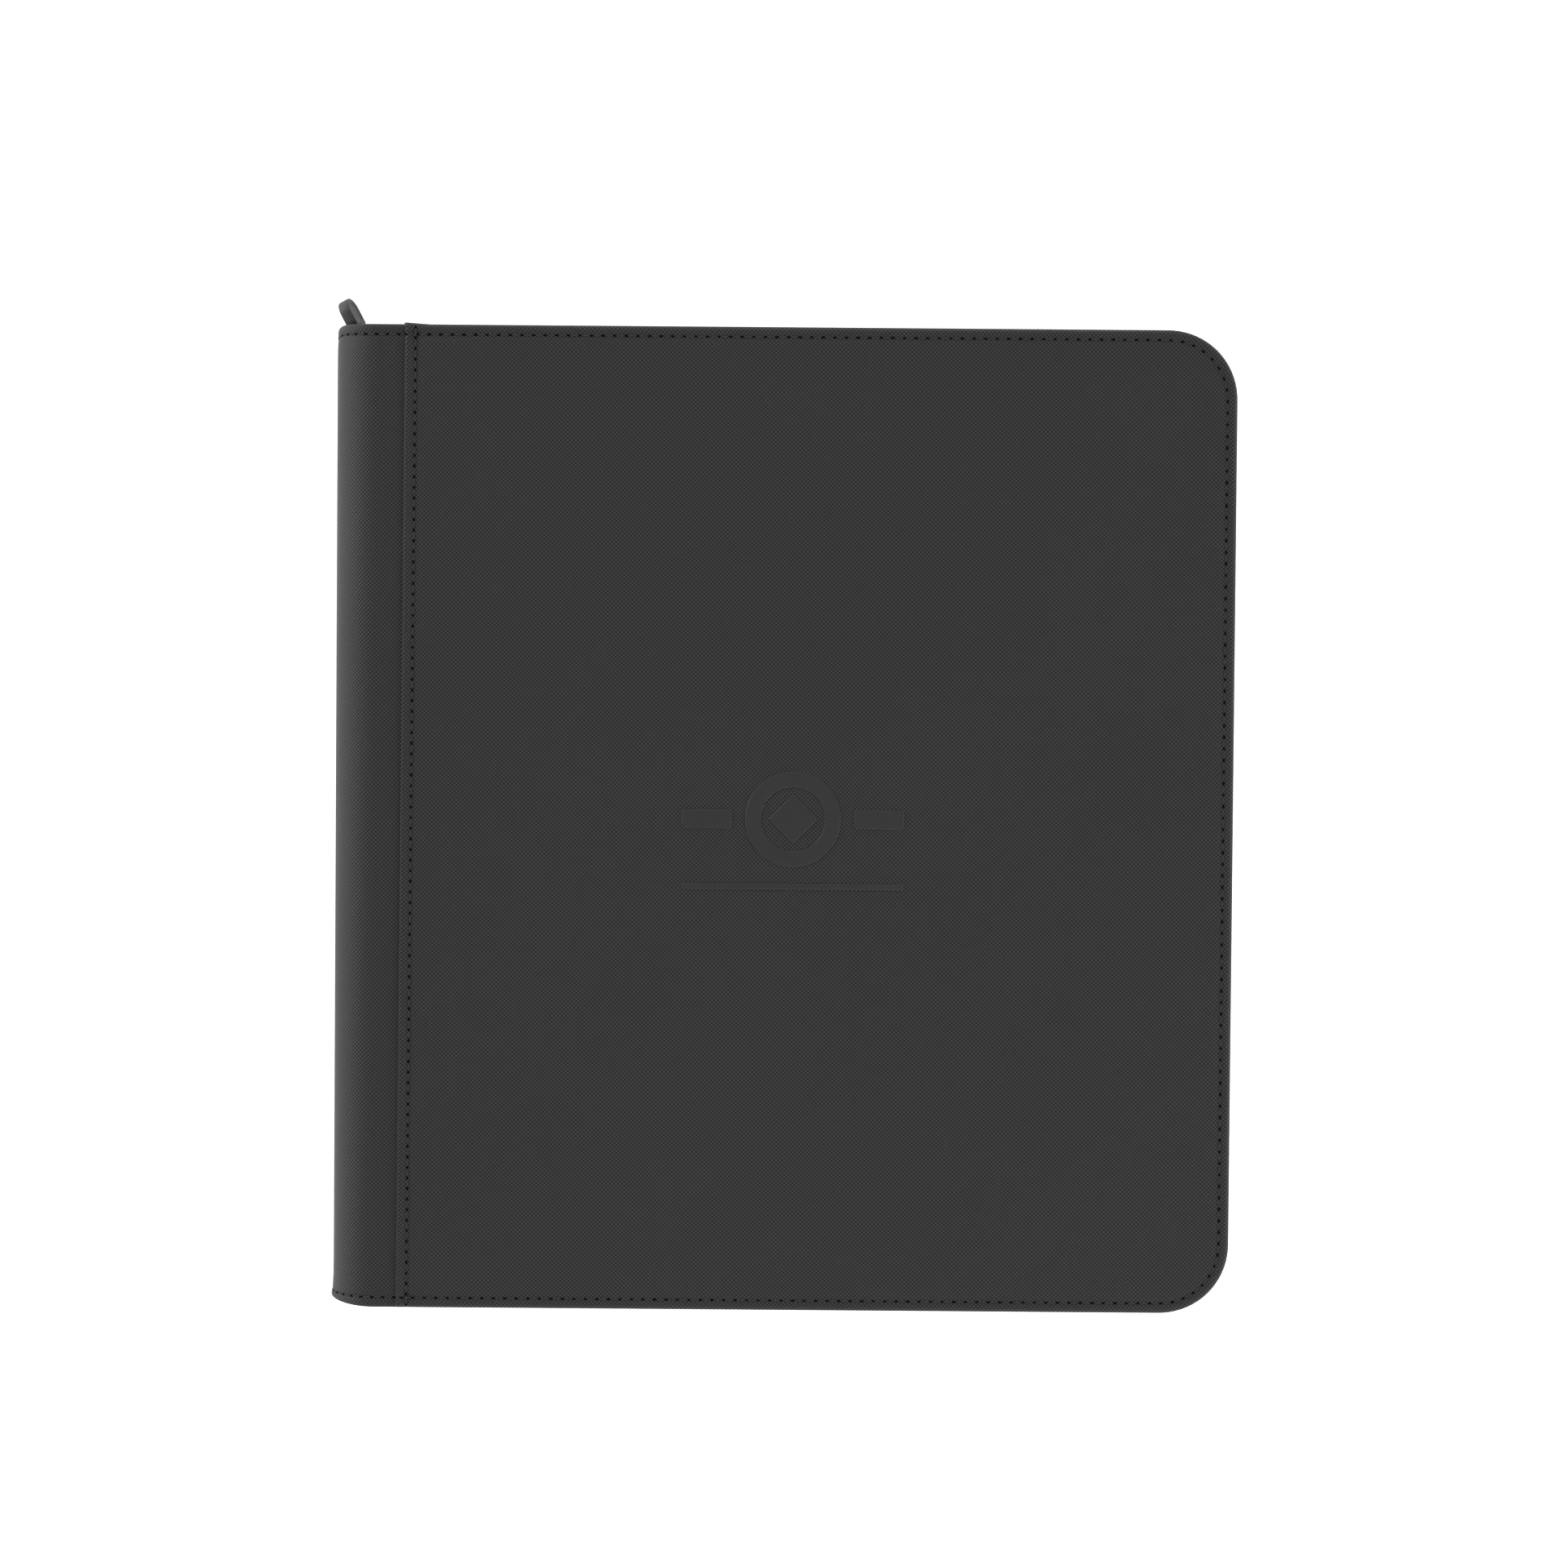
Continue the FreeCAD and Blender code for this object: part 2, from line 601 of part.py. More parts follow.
def main():
    """Build every sub-part, check it and write its file."""
    for side in ("back", "front"):
        cover_skin(side)
        cover_layers(side)
    spine_layers()
    binding_bar()
    page_block("back", 1)
    middle_pages()
    page_block("front", 12)
    zip_rows()
    slider()
    pull_eye()
    pull_tab()
    DOCUMENT.recompute()
    for item in DOCUMENT.Objects:
        if "Invalid" in item.State or "Error" in item.State:
            raise RuntimeError(f"{item.Label} failed: {item.State}")
    for item in sub_parts:
        if item.Shape.isNull() or not item.Shape.isValid():
            raise RuntimeError(f"{item.Label} has no valid shape")
    os.makedirs("parts", exist_ok=True)
    for item in sub_parts:
        item.Shape.exportStep(f"parts/{item.Label}.step")
        solids = len(item.Shape.Solids)
        print(f"{item.Label}: {solids} solid(s), {item.Shape.Volume / 1000:.3f} cm3")
    print(f"binder {WIDTH.value:.1f} x {HEIGHT.value:.1f} x {THICKNESS.value:.1f} mm, "
          f"pin at {PIN_X.value:.2f}, {PIN_Y.value:.2f}, {MIDDLE.value:.2f}")
    crease = (SPINE_FACE + CREASE_INSET).value
    print(f"covers fold about x {crease:.4f}, z {CREASE_INSET.value:.4f} and "
          f"z {(THICKNESS - CREASE_INSET).value:.4f}")


main()
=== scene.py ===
import logging
import math
from dataclasses import dataclass
from enum import Enum
from typing import Callable, Optional, Sequence, Union

import bpy
from mathutils import Matrix, Vector


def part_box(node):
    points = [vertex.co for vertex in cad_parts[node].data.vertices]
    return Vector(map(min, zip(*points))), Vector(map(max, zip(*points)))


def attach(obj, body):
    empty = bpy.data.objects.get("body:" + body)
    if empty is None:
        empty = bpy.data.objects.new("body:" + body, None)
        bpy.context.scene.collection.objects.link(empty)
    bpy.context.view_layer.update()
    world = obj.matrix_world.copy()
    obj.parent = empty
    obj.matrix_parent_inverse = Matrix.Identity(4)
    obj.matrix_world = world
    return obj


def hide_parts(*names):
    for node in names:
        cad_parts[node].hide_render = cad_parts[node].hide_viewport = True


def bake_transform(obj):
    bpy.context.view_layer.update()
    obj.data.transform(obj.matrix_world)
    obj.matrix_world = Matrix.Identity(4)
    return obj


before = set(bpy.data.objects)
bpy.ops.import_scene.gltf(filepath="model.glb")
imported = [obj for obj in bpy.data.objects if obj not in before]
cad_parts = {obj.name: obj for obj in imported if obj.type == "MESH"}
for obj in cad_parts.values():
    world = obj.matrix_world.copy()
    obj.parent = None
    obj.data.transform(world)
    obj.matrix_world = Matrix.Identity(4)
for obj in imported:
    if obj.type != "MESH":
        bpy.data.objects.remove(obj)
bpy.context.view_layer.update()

LOG = logging.getLogger("card_binder")
MM = 0.001

Piece = bpy.types.Object
Material = bpy.types.Material
Socket = bpy.types.NodeSocket
Colour = tuple[float, float, float]
Point = tuple[float, float, float]


class Body(Enum):
    """The rigid groups that pieces ride on."""

    BACK = "back_cover"
    SPINE = "spine"
    FRONT = "front_cover"
    LOWER_PAGE = "lower_middle_page"
    UPPER_PAGE = "upper_middle_page"
    SLIDER = "slider"
    PULL = "zip_pull"


class Side(Enum):
    """Which cover a piece belongs to; the value is the sign of its outward z."""

    BACK = -1
    FRONT = 1

    @property
    def body(self) -> Body:
        """Body that this side's cover rides on."""
        return Body.FRONT if self is Side.FRONT else Body.BACK

    @property
    def word(self) -> str:
        """The side's name in node and piece names."""
        return self.name.lower()


def smooth(value: float, low: float, high: float) -> float:
    """Smoothstep of value from 0 at low to 1 at high."""
    share = min(1.0, max(0.0, (value - low) / (high - low)))
    return share * share * (3 - 2 * share)


# --- sizes


@dataclass(frozen=True)
class BinderSizes:
    """Outline of the closed binder, read from the frame, in metres."""

    left: float
    right: float
    half_height: float
    seam: float
    thickness: float
    cover: float
    corner_radius: float = 24.6 * MM

    @classmethod
    def from_frame(cls) -> "BinderSizes":
        """Measure the frame's covers and spine.

        Returns:
            The outline that every piece is built on.
        """
        skin_low, skin_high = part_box("front_skin")
        wrap_low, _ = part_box("spine_wrap")
        return cls(
            left=wrap_low.x,
            right=skin_high.x,
            half_height=skin_high.y,
            seam=skin_low.x,
            thickness=skin_high.z,
            cover=skin_high.z - skin_low.z,
        )

    @property
    def middle(self) -> float:
        """Height of the plane between the covers."""
        return self.thickness / 2

    @property
    def spine_radius(self) -> float:
        """Radius of the rounded spine."""
        return self.thickness / 2

    @property
    def spine_centre(self) -> float:
        """X of the rounded spine's centre line."""
        return self.left + self.spine_radius


SIZES = BinderSizes.from_frame()


# --- shader tools


Input = Union["Value", Socket, Material, float, tuple]


def operator(operation: str, swapped: bool = False) -> Callable[..., "Value"]:
    """An arithmetic method that adds a Math node.

    Args:
        operation: The node's operation.
        swapped: Whether the other operand comes first.

    Returns:
        The method, for a Value.
    """
    def method(self: "Value", other: Input = 0.0) -> "Value":
        first, second = (other, self) if swapped else (self, other)
        return self.nodes.maths(operation, first, second)
    return method


class Value:
    """A number socket that can be used in Python arithmetic."""

    def __init__(self, nodes: "Nodes", socket: Socket) -> None:
        """Wrap one output socket of a tree."""
        self.nodes = nodes
        self.socket = socket

    __add__ = __radd__ = operator("ADD")
    __mul__ = __rmul__ = operator("MULTIPLY")
    __sub__, __rsub__ = operator("SUBTRACT"), operator("SUBTRACT", swapped=True)
    __truediv__ = operator("DIVIDE")
    __pow__ = operator("POWER")
    __abs__ = operator("ABSOLUTE")


class Nodes:
    """A node tree in which one method adds every kind of node."""

    def __init__(self, tree: bpy.types.NodeTree) -> None:
        """Work on a tree."""
        self.tree = tree

    def add(self, kind: str, settings: Optional[dict] = None,
            inputs: Optional[dict] = None) -> bpy.types.Node:
        """Add a node.

        Args:
            kind: The node's type.
            settings: Properties to set first; "stops" fills a colour ramp.
            inputs: Socket name or index to a number, colour, Value or socket.

        Returns:
            The new node.
        """
        node = self.tree.nodes.new(kind)
        for key, setting in (settings or {}).items():
            if key == "stops":
                self._fill_ramp(node.color_ramp, setting)
            else:
                setattr(node, key, setting)
        for key, value in (inputs or {}).items():
            self.feed(node.inputs[key], value)
        return node

    @staticmethod
    def _fill_ramp(ramp: bpy.types.ColorRamp, stops: Sequence[tuple]) -> None:
        """Replace a ramp's stops with (place, grey) pairs."""
        while len(ramp.elements) < len(stops):
            ramp.elements.new(1.0)
        for element, (place, grey) in zip(ramp.elements, stops):
            element.position = place
            element.color = (grey, grey, grey, 1.0)

    def feed(self, socket: Socket, value: Input) -> None:
        """Link or set one input socket."""
        if isinstance(value, Value):
            self.tree.links.new(value.socket, socket)
        elif isinstance(value, Socket):
            self.tree.links.new(value, socket)
        elif isinstance(value, tuple) and socket.type == "RGBA":
            socket.default_value = (*value[:3], 1.0)
        else:
            socket.default_value = value

    def maths(self, operation: str, first: Input, second: Input = 0.0) -> Value:
        """Add a Math node and give its result."""
        node = self.add("ShaderNodeMath", {"operation": operation}, {0: first, 1: second})
        return Value(self, node.outputs[0])


class Shader(Nodes):
    """A material's node tree."""

    def __init__(self, name: str) -> None:
        """Start an empty tree with its output.

        Args:
            name: The material's name.
        """
        self.material = bpy.data.materials.new(name)
        self.material.use_nodes = True
        super().__init__(self.material.node_tree)
        self.tree.nodes.clear()
        self.output = self.add("ShaderNodeOutputMaterial")

    def blend(self, first: Input, second: Input, factor: Input) -> Socket:
        """Mix two colours and give the result's socket."""
        node = self.add("ShaderNodeMix", {"data_type": "RGBA"}, {0: factor, 6: first, 7: second})
        return node.outputs[2]

    def place(self, source: str = "Object") -> tuple[Value, Value, Value]:
        """Object or UV coordinates as three numbers.

        Args:
            source: "Object" or "UV".

        Returns:
            X, Y and Z in metres.
        """
        where = self.add("ShaderNodeTexCoord").outputs[source]
        parts = self.add("ShaderNodeSeparateXYZ", inputs={0: where})
        return tuple(Value(self, parts.outputs[axis]) for axis in range(3))

    def noise(self, scale: float, detail: float = 2.0, rough: float = 0.5) -> Value:
        """Object-space noise.

        Args:
            scale: Cells per metre.
            detail: Octaves.
            rough: Strength of the finer octaves.

        Returns:
            Noise from 0 to 1.
        """
        where = self.add("ShaderNodeTexCoord").outputs["Object"]
        node = self.add("ShaderNodeTexNoise", inputs={
            "Vector": where, "Scale": scale, "Detail": detail, "Roughness": rough})
        return Value(self, node.outputs["Fac"])

    def bump(self, height: Input, depth: float, strength: float = 1.0) -> Socket:
        """A Bump node over a height from 0 to 1.

        Args:
            height: The height.
            depth: Metres that a height of 1 stands for.
            strength: Share of the full effect.

        Returns:
            The bent normal.
        """
        return self.add("ShaderNodeBump", inputs={
            "Height": height, "Distance": depth, "Strength": strength}).outputs[0]

    def surface(self, **inputs: Input) -> Material:
        """Close the tree with a Principled surface.

        Args:
            inputs: Its sockets, with underscores for spaces.

        Returns:
            The finished material.
        """
        named = {name.replace("_", " "): value for name, value in inputs.items()}
        principled = self.add("ShaderNodeBsdfPrincipled", inputs=named)
        self.feed(self.output.inputs["Surface"], principled.outputs[0])
        return self.material


# --- finishes


@dataclass(frozen=True)
class WovenSkin:
    """Coated fabric, embossed with staggered rows of small square bosses."""

    name: str = "skin_basket_weave"
    pitch: float = 1.46 * MM
    depth: float = 0.20 * MM
    # the valleys' darker tone is painted shade in the hollows of the emboss; the bosses take the
    # lighter tone
    valley_shade: float = 0.017
    boss: float = 0.062
    roughness: float = 0.52

    def make(self) -> Material:
        """Build the material over the piece's UV map, which is in metres."""
        shader = Shader(self.name)
        across, along, _ = shader.place("UV")
        turn = 2 * math.pi / self.pitch
        wave = shader.maths("COSINE", across * turn) * shader.maths("COSINE", along * turn)
        boss = (wave * 0.5 + 0.5) ** 1.8
        patch = shader.noise(14.0, 3.0)
        grain = shader.noise(2600.0, 2.0)
        # painted shade: the colour darkens from the bosses down into the valleys; the cloudy
        # patches after it are random
        tone = shader.blend((self.valley_shade,) * 3, (self.boss,) * 3, boss)
        cloudy = shader.blend(tone, (0.0, 0.0, 0.0), patch * 0.16)
        rough = self.roughness + patch * 0.1 - boss * 0.08
        height = boss + grain * 0.14
        normal = shader.bump(height, self.depth, 0.9)
        return shader.surface(Base_Color=cloudy, Roughness=rough, Normal=normal,
                              Specular_IOR_Level=0.22)


@dataclass(frozen=True)
class WovenCloth:
    """Plain woven cloth with fine square threads."""

    name: str
    # dark is the painted shade between the threads and also the tone of the worn patches; light is
    # the threads' crowns
    dark: Colour
    light: Colour
    pitch: float = 0.55 * MM
    depth: float = 0.08 * MM
    roughness: float = 0.86

    def make(self) -> Material:
        """Build the material on object coordinates."""
        shader = Shader(self.name)
        across, along, rise = shader.place()
        turn = 2 * math.pi / self.pitch
        side = across + rise * 0.5
        wave = shader.maths("SINE", side * turn) * shader.maths("SINE", (along + rise) * turn)
        threads = wave * 0.5 + 0.5
        # painted shade: dark between the threads, light on their crowns; the worn patches below are
        # random
        tone = shader.blend(self.dark, self.light, threads)
        worn = shader.blend(tone, self.dark, shader.noise(30.0) * 0.4)
        normal = shader.bump(threads + shader.noise(3000.0) * 0.3, self.depth)
        return shader.surface(Base_Color=worn, Roughness=self.roughness + threads * 0.06,
                              Normal=normal, Specular_IOR_Level=0.3)


@dataclass(frozen=True)
class Moulded:
    """Moulded plastic or rubber with a fine spark-eroded grain."""

    name: str
    colour: Colour
    roughness: float
    grain: float = 900.0
    depth: float = 0.03 * MM
    speckle: float = 0.18
    gloss: float = 0.45

    def make(self) -> Material:
        """Build the material on object coordinates."""
        shader = Shader(self.name)
        grain = shader.noise(self.grain, 3.0)
        cloud = shader.noise(25.0)
        lighter = tuple(min(1.0, part * 1.5 + 0.004) for part in self.colour)
        tone = shader.blend(self.colour, lighter, grain * self.speckle + cloud * 0.2)
        normal = shader.bump(grain, self.depth)
        return shader.surface(Base_Color=tone, Roughness=self.roughness + cloud * 0.08,
                              Normal=normal, Specular_IOR_Level=self.gloss)


@dataclass(frozen=True)
class Lacquered:
    """Die-cast metal under thin black lacquer, rubbed on its edges."""

    name: str = "slider_black_lacquer"
    colour: Colour = (0.018, 0.018, 0.019)
    rubbed: Colour = (0.16, 0.155, 0.15)

    def make(self) -> Material:
        """Build the material; the wear follows a fine noise."""
        shader = Shader(self.name)
        scratch = shader.noise(1400.0, 4.0)
        wear = shader.add("ShaderNodeValToRGB", {"stops": ((0.60, 0.0), (0.80, 1.0))},
                          {0: scratch})
        worn = Value(shader, wear.outputs[0]) * 0.5
        tone = shader.blend(self.colour, self.rubbed, worn)
        return shader.surface(Base_Color=tone, Metallic=0.55 + worn * 0.4,
                              Roughness=0.30 + scratch * 0.16,
                              Normal=shader.bump(scratch, 0.02 * MM))


@dataclass(frozen=True)
class ClearFilm:
    """Soft clear film with faint waves and a haze of fine scratches."""

    name: str = "pocket_clear_film"

    def make(self) -> Material:
        """Build the see-through material."""
        shader = Shader(self.name)
        wave = shader.noise(22.0, 2.0)
        haze = shader.noise(700.0, 3.0)
        return shader.surface(Base_Color=(0.10, 0.10, 0.11), Roughness=0.16 + haze * 0.14,
                              Alpha=0.30 + haze * 0.08, Normal=shader.bump(wave, 0.6 * MM),
                              Specular_IOR_Level=0.35)


@dataclass(frozen=True)
class PressedBoard:
    """Grey-brown pressed paper board with flecks."""

    name: str = "cover_paper_board"

    def make(self) -> Material:
        """Build the material on object coordinates."""
        shader = Shader(self.name)
        fleck = shader.noise(420.0, 4.0, 0.7)
        tone = shader.blend((0.22, 0.19, 0.16), (0.42, 0.37, 0.31), fleck)
        return shader.surface(Base_Color=tone, Roughness=0.85 + fleck * 0.1,
                              Normal=shader.bump(fleck, 0.05 * MM))


class Finishes:
    """Every finish of the binder, made once."""

    def __init__(self) -> None:
        """Make the materials."""
        self.skin = WovenSkin().make()
        self.emblem = Moulded("emblem_smooth_coat", (0.027, 0.027, 0.0268), 0.5, 500.0,
                              0.02 * MM, 0.3, 0.3).make()
        self.lining = WovenCloth("lining_fine_cloth", (0.010, 0.010, 0.011),
                                 (0.026, 0.026, 0.028)).make()
        self.tape = WovenCloth("zip_woven_tape", (0.008, 0.008, 0.009), (0.024, 0.024, 0.025),
                               0.8 * MM, 0.12 * MM, 0.82).make()
        self.foam = Moulded("padding_open_foam", (0.20, 0.20, 0.21), 0.95, 700.0,
                            0.4 * MM, 0.5).make()
        self.board = PressedBoard().make()
        self.page = Moulded("page_matte_sheet", (0.012, 0.012, 0.013), 0.52, 1500.0,
                            0.008 * MM).make()
        self.film = ClearFilm().make()
        self.binding = Moulded("binding_matte_strip", (0.016, 0.016, 0.017), 0.6).make()
        self.coil = Moulded("zip_nylon_coil", (0.013, 0.013, 0.014), 0.38, 2000.0).make()
        self.metal = Lacquered().make()
        self.pull = Moulded("pull_grey_rubber", (0.040, 0.041, 0.041), 0.6, 1300.0,
                            0.05 * MM, 0.3).make()
        self.thread = WovenCloth("stitch_black_thread", (0.022, 0.022, 0.023),
                                 (0.050, 0.050, 0.052), 0.5 * MM, 0.1 * MM, 0.7).make()
        # near-black finish of the beads that paint the shade of the needle holes
        self.needle_hole_shade = Moulded("stitch_needle_hole", (0.004, 0.004, 0.0042), 0.95,
                                   gloss=0.0).make()


# --- mesh tools


def new_piece(name: str, points: Sequence[Point], faces: Sequence[Sequence[int]],
              material: Material, shade_smooth: bool = True,
              edges: Sequence[tuple[int, int]] = ()) -> Piece:
    """Make a mesh object at the origin.

    Args:
        name: The piece's name.
        points: Corners in metres.
        faces: Corner numbers of each face.
        material: Its finish.
        shade_smooth: Smooth shading.
        edges: Loose edges, for a path.

    Returns:
        The linked object.
    """
    mesh = bpy.data.meshes.new(name)
    mesh.from_pydata(points, edges, faces)
    mesh.materials.append(material)
    mesh.polygons.foreach_set("use_smooth", [shade_smooth] * len(mesh.polygons))
    mesh.update()
    piece = bpy.data.objects.new(name, mesh)
    bpy.context.scene.collection.objects.link(piece)
    return piece


def grid_faces(rows: int, columns: int, flipped: bool = False) -> list[tuple[int, ...]]:
    """Quads of a rows by columns lattice of points."""
    faces = []
    for row in range(rows - 1):
        for column in range(columns - 1):
            corner = row * columns + column
            quad = (corner, corner + 1, corner + columns + 1, corner + columns)
            faces.append(quad[::-1] if flipped else quad)
    return faces


def lofted(name: str, rings: Sequence[list[Point]], material: Material,
           flipped: bool = False, closed: bool = False) -> Piece:
    """Make a piece whose skin runs over closed rings of points.

    Args:
        name: The piece's name.
        rings: The rings, with as many points each.
        material: Its finish.
        flipped: Turn the faces over.
        closed: Join the last ring to the first instead of capping both.

    Returns:
        The linked object.
    """
    count, last = len(rings[0]), (len(rings) - 1) * len(rings[0])
    faces = [] if closed else [tuple(range(count)), tuple(reversed(range(last, last + count)))]
    for ring in range(len(rings) if closed else len(rings) - 1):
        base, above = ring * count, (ring + 1) % len(rings) * count
        for number in range(count):
            after = (number + 1) % count
            faces.append((base + after, base + number, above + number, above + after))
    if flipped:
        faces = [face[::-1] for face in faces]
    return new_piece(name, sum(rings, []), faces, material)


def between(low: float, high: float, step: float) -> list[float]:
    """Evenly spaced places inside two ends, about a step apart."""
    count = round((high - low) / step)
    return [low + (high - low) * part / count for part in range(1, count)]


def set_uv(piece: Piece, places: Sequence[tuple[float, float]]) -> None:
    """Give each point of a piece its place on the cloth, in metres."""
    layer = piece.data.uv_layers.new(name="cloth")
    for loop in piece.data.loops:
        layer.data[loop.index].uv = places[loop.vertex_index]


def thicken(piece: Piece, thickness: float, offset: float = -1.0) -> None:
    """Give a sheet its thickness, inwards from its outer face, or half each way at offset 0."""
    solid = piece.modifiers.new("thickness", "SOLIDIFY")
    solid.thickness = thickness
    solid.offset = offset


def applied(piece: Piece, name: str) -> Piece:
    """Replace a piece and its modifiers with a plain mesh piece."""
    graph = bpy.context.evaluated_depsgraph_get()
    mesh = bpy.data.meshes.new_from_object(piece.evaluated_get(graph))
    old = piece.data
    piece.modifiers.clear()
    piece.data = mesh
    piece.name = name
    mesh.name = name
    bpy.data.meshes.remove(old)
    return piece


def settle(piece: Piece, body: Body, replaces: Sequence[str] = ()) -> Piece:
    """Let a finished piece ride on its body and hide the frame's nodes that it replaces."""
    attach(piece, body.value)
    if replaces:
        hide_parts(*replaces)
    LOG.info("%s rides on %s, %d faces", piece.name, body.value, len(piece.data.polygons))
    return piece


def join_pieces(name: str, pieces: Sequence[Piece]) -> Piece:
    """Join plain mesh pieces into one object."""
    points, faces = [], []
    material = pieces[0].data.materials[0]
    for piece in pieces:
        base = len(points)
        points += [tuple(vertex.co) for vertex in piece.data.vertices]
        faces += [tuple(base + number for number in face.vertices) for face in piece.data.polygons]
        mesh = piece.data
        bpy.data.objects.remove(piece)
        bpy.data.meshes.remove(mesh)
    return new_piece(name, points, faces, material)


# --- node trees


class GeometryGraph(Nodes):
    """A Geometry Nodes tree under construction."""

    def __init__(self, name: str, sizes: Sequence[str],
                 finishes: Sequence[str] = ("Finish",)) -> None:
        """Start a tree with named inputs.

        Args:
            name: The tree's name.
            sizes: Names of its number inputs.
            finishes: Names of its material inputs.
        """
        super().__init__(bpy.data.node_groups.new(name, "GeometryNodeTree"))
        face = self.tree.interface
        face.new_socket("Geometry", in_out="INPUT", socket_type="NodeSocketGeometry")
        kinds = {size: "NodeSocketFloat" for size in sizes}
        kinds |= {finish: "NodeSocketMaterial" for finish in finishes}
        self.sockets = {name: face.new_socket(name, in_out="INPUT", socket_type=kind).identifier
                        for name, kind in kinds.items()}
        face.new_socket("Geometry", in_out="OUTPUT", socket_type="NodeSocketGeometry")
        self.inputs = self.add("NodeGroupInput").outputs
        self.output = self.add("NodeGroupOutput").inputs[0]

    def size(self, name: str) -> Value:
        """One of the tree's number inputs."""
        return Value(self, self.inputs[name])

    def vector(self, *parts: Input) -> Socket:
        """Three numbers as one vector."""
        return self.add("ShaderNodeCombineXYZ", inputs=dict(enumerate(parts))).outputs[0]

    def join(self, *parts: Socket) -> Socket:
        """Several geometries as one."""
        node = self.tree.nodes.new("GeometryNodeJoinGeometry")
        for part in parts:
            self.tree.links.new(part, node.inputs[0])
        return node.outputs[0]

    def finished(self, geometry: Socket, finish: str = "Finish") -> Socket:
        """Realise instances and set their material, one of the tree's material inputs."""
        real = self.add("GeometryNodeRealizeInstances", inputs={0: geometry}).outputs[0]
        shaded = self.add("GeometryNodeSetShadeSmooth", inputs={0: real}).outputs[0]
        return self.add("GeometryNodeSetMaterial", inputs={
            "Geometry": shaded, "Material": self.inputs[finish]}).outputs[0]

    def run(self, piece: Piece, name: str, **values: Union[float, Material]) -> Piece:
        """Put the tree on a piece, set its inputs and turn the result into a mesh.

        Args:
            piece: The path or seed mesh.
            name: The finished piece's name.
            values: The tree's inputs, with underscores for spaces.

        Returns:
            The same object with a plain mesh and no modifier.
        """
        modifier = piece.modifiers.new("pattern", "NODES")
        modifier.node_group = self.tree
        for key, value in values.items():
            modifier[self.sockets[key.replace("_", " ")]] = value
        return applied(piece, name)


class Row(GeometryGraph):
    """Equal beads along a path; the beads turn about one axis, so they never tip over."""

    SEED = 11
    pivot = "Z"

    def path(self) -> Socket:
        """The piece's edges as a curve."""
        return self.add("GeometryNodeMeshToCurve",
                        inputs={0: self.inputs["Geometry"]}).outputs[0]

    def points(self, path: Socket, shift: Union[float, Value]) -> bpy.types.Node:
        """Points on a path, a pitch apart, the pitch rounded so that they fill it.

        Args:
            path: The curve.
            shift: Pitches from each end to the nearest point: 0 on the ends, 0.5 between those.

        Returns:
            The node that holds the points.
        """
        length = Value(self, self.add("GeometryNodeCurveLength", inputs={0: path}).outputs[0])
        gaps = self.maths("ROUND", length / self.size("Pitch"))
        margin = length / gaps * shift
        trimmed = self.add("GeometryNodeTrimCurve", {"mode": "LENGTH"},
                           {"Curve": path, 4: margin, 5: length - margin}).outputs[0]
        return self.add("GeometryNodeCurveToPoints", {"mode": "COUNT"},
                        {"Curve": trimmed, "Count": gaps + 1.0 - 2.0 * shift})

    def beads(self, points: bpy.types.Node, length: Input, width: Input, height: Input,
              spread: Input) -> Socket:
        """A rounded bead on every point, along the path.

        Args:
            points: The node that holds the points.
            length: Size along the path.
            width: Size across the path.
            height: Size along the path's normal.
            spread: How uneven the lengths are, as a share.

        Returns:
            The beads as instances.
        """
        facing = self.add("FunctionNodeAlignRotationToVector",
                          {"axis": "X", "pivot_axis": self.pivot},
                          {"Vector": points.outputs["Tangent"]})
        ball = self.add("GeometryNodeMeshUVSphere",
                        inputs={"Segments": 8, "Rings": 6, "Radius": 0.5}).outputs[0]
        bead = self.add("GeometryNodeTransform", inputs={
            "Geometry": ball, "Scale": self.vector(length, width, height)}).outputs[0]
        uneven = self.add("FunctionNodeRandomValue", {"data_type": "FLOAT"},
                          {2: 1.0 - spread, 3: 1.0 + spread, "Seed": self.SEED}).outputs[1]
        return self.add("GeometryNodeInstanceOnPoints", inputs={
            "Points": points.outputs["Points"], "Instance": bead, "Rotation": facing.outputs[0],
            "Scale": self.vector(uneven, 1.0, 1.0)}).outputs[0]


class StitchRow(Row):
    """Lockstitch: rounded lengths of thread with a dark bead between them, painted shade of the
    needle hole.
    """

    def __init__(self, pivot: str) -> None:
        """Build the tree.

        Args:
            pivot: Axis that the stitches turn about.
        """
        self.pivot = pivot
        super().__init__("stitch_row", ("Pitch", "Length", "Width", "Height", "Hole", "Spread"),
                         ("Finish", "Hole Finish"))
        path, height, hole = self.path(), self.size("Height"), self.size("Hole")
        spread = self.size("Spread")
        thread = self.beads(self.points(path, 0.5), self.size("Length"), self.size("Width"),
                            height, spread)
        # the near-black beads between the stitches are painted shade where the thread dives into
        # its needle hole
        hole_shades = self.beads(self.points(path, 0.0), hole, hole * 0.62, height * 0.86, spread * 2.0)
        both = self.join(self.finished(thread), self.finished(hole_shades, "Hole Finish"))
        self.feed(self.output, both)


class ToothRow(Row):
    """Coil of a zip: upright teeth on a thin core."""

    def __init__(self) -> None:
        """Build the tree."""
        super().__init__("tooth_row", ("Pitch", "Shift", "Length", "Width", "Height", "Core"))
        path = self.path()
        teeth = self.beads(self.points(path, self.size("Shift")), self.size("Length"),
                           self.size("Width"), self.size("Height"), 0.0)
        ring = self.add("GeometryNodeCurvePrimitiveCircle", {"mode": "RADIUS"},
                        {"Resolution": 6, "Radius": self.size("Core")}).outputs[0]
        core = self.add("GeometryNodeCurveToMesh",
                        inputs={"Curve": path, "Profile Curve": ring, "Fill Caps": True}).outputs[0]
        self.feed(self.output, self.finished(self.join(teeth, core)))


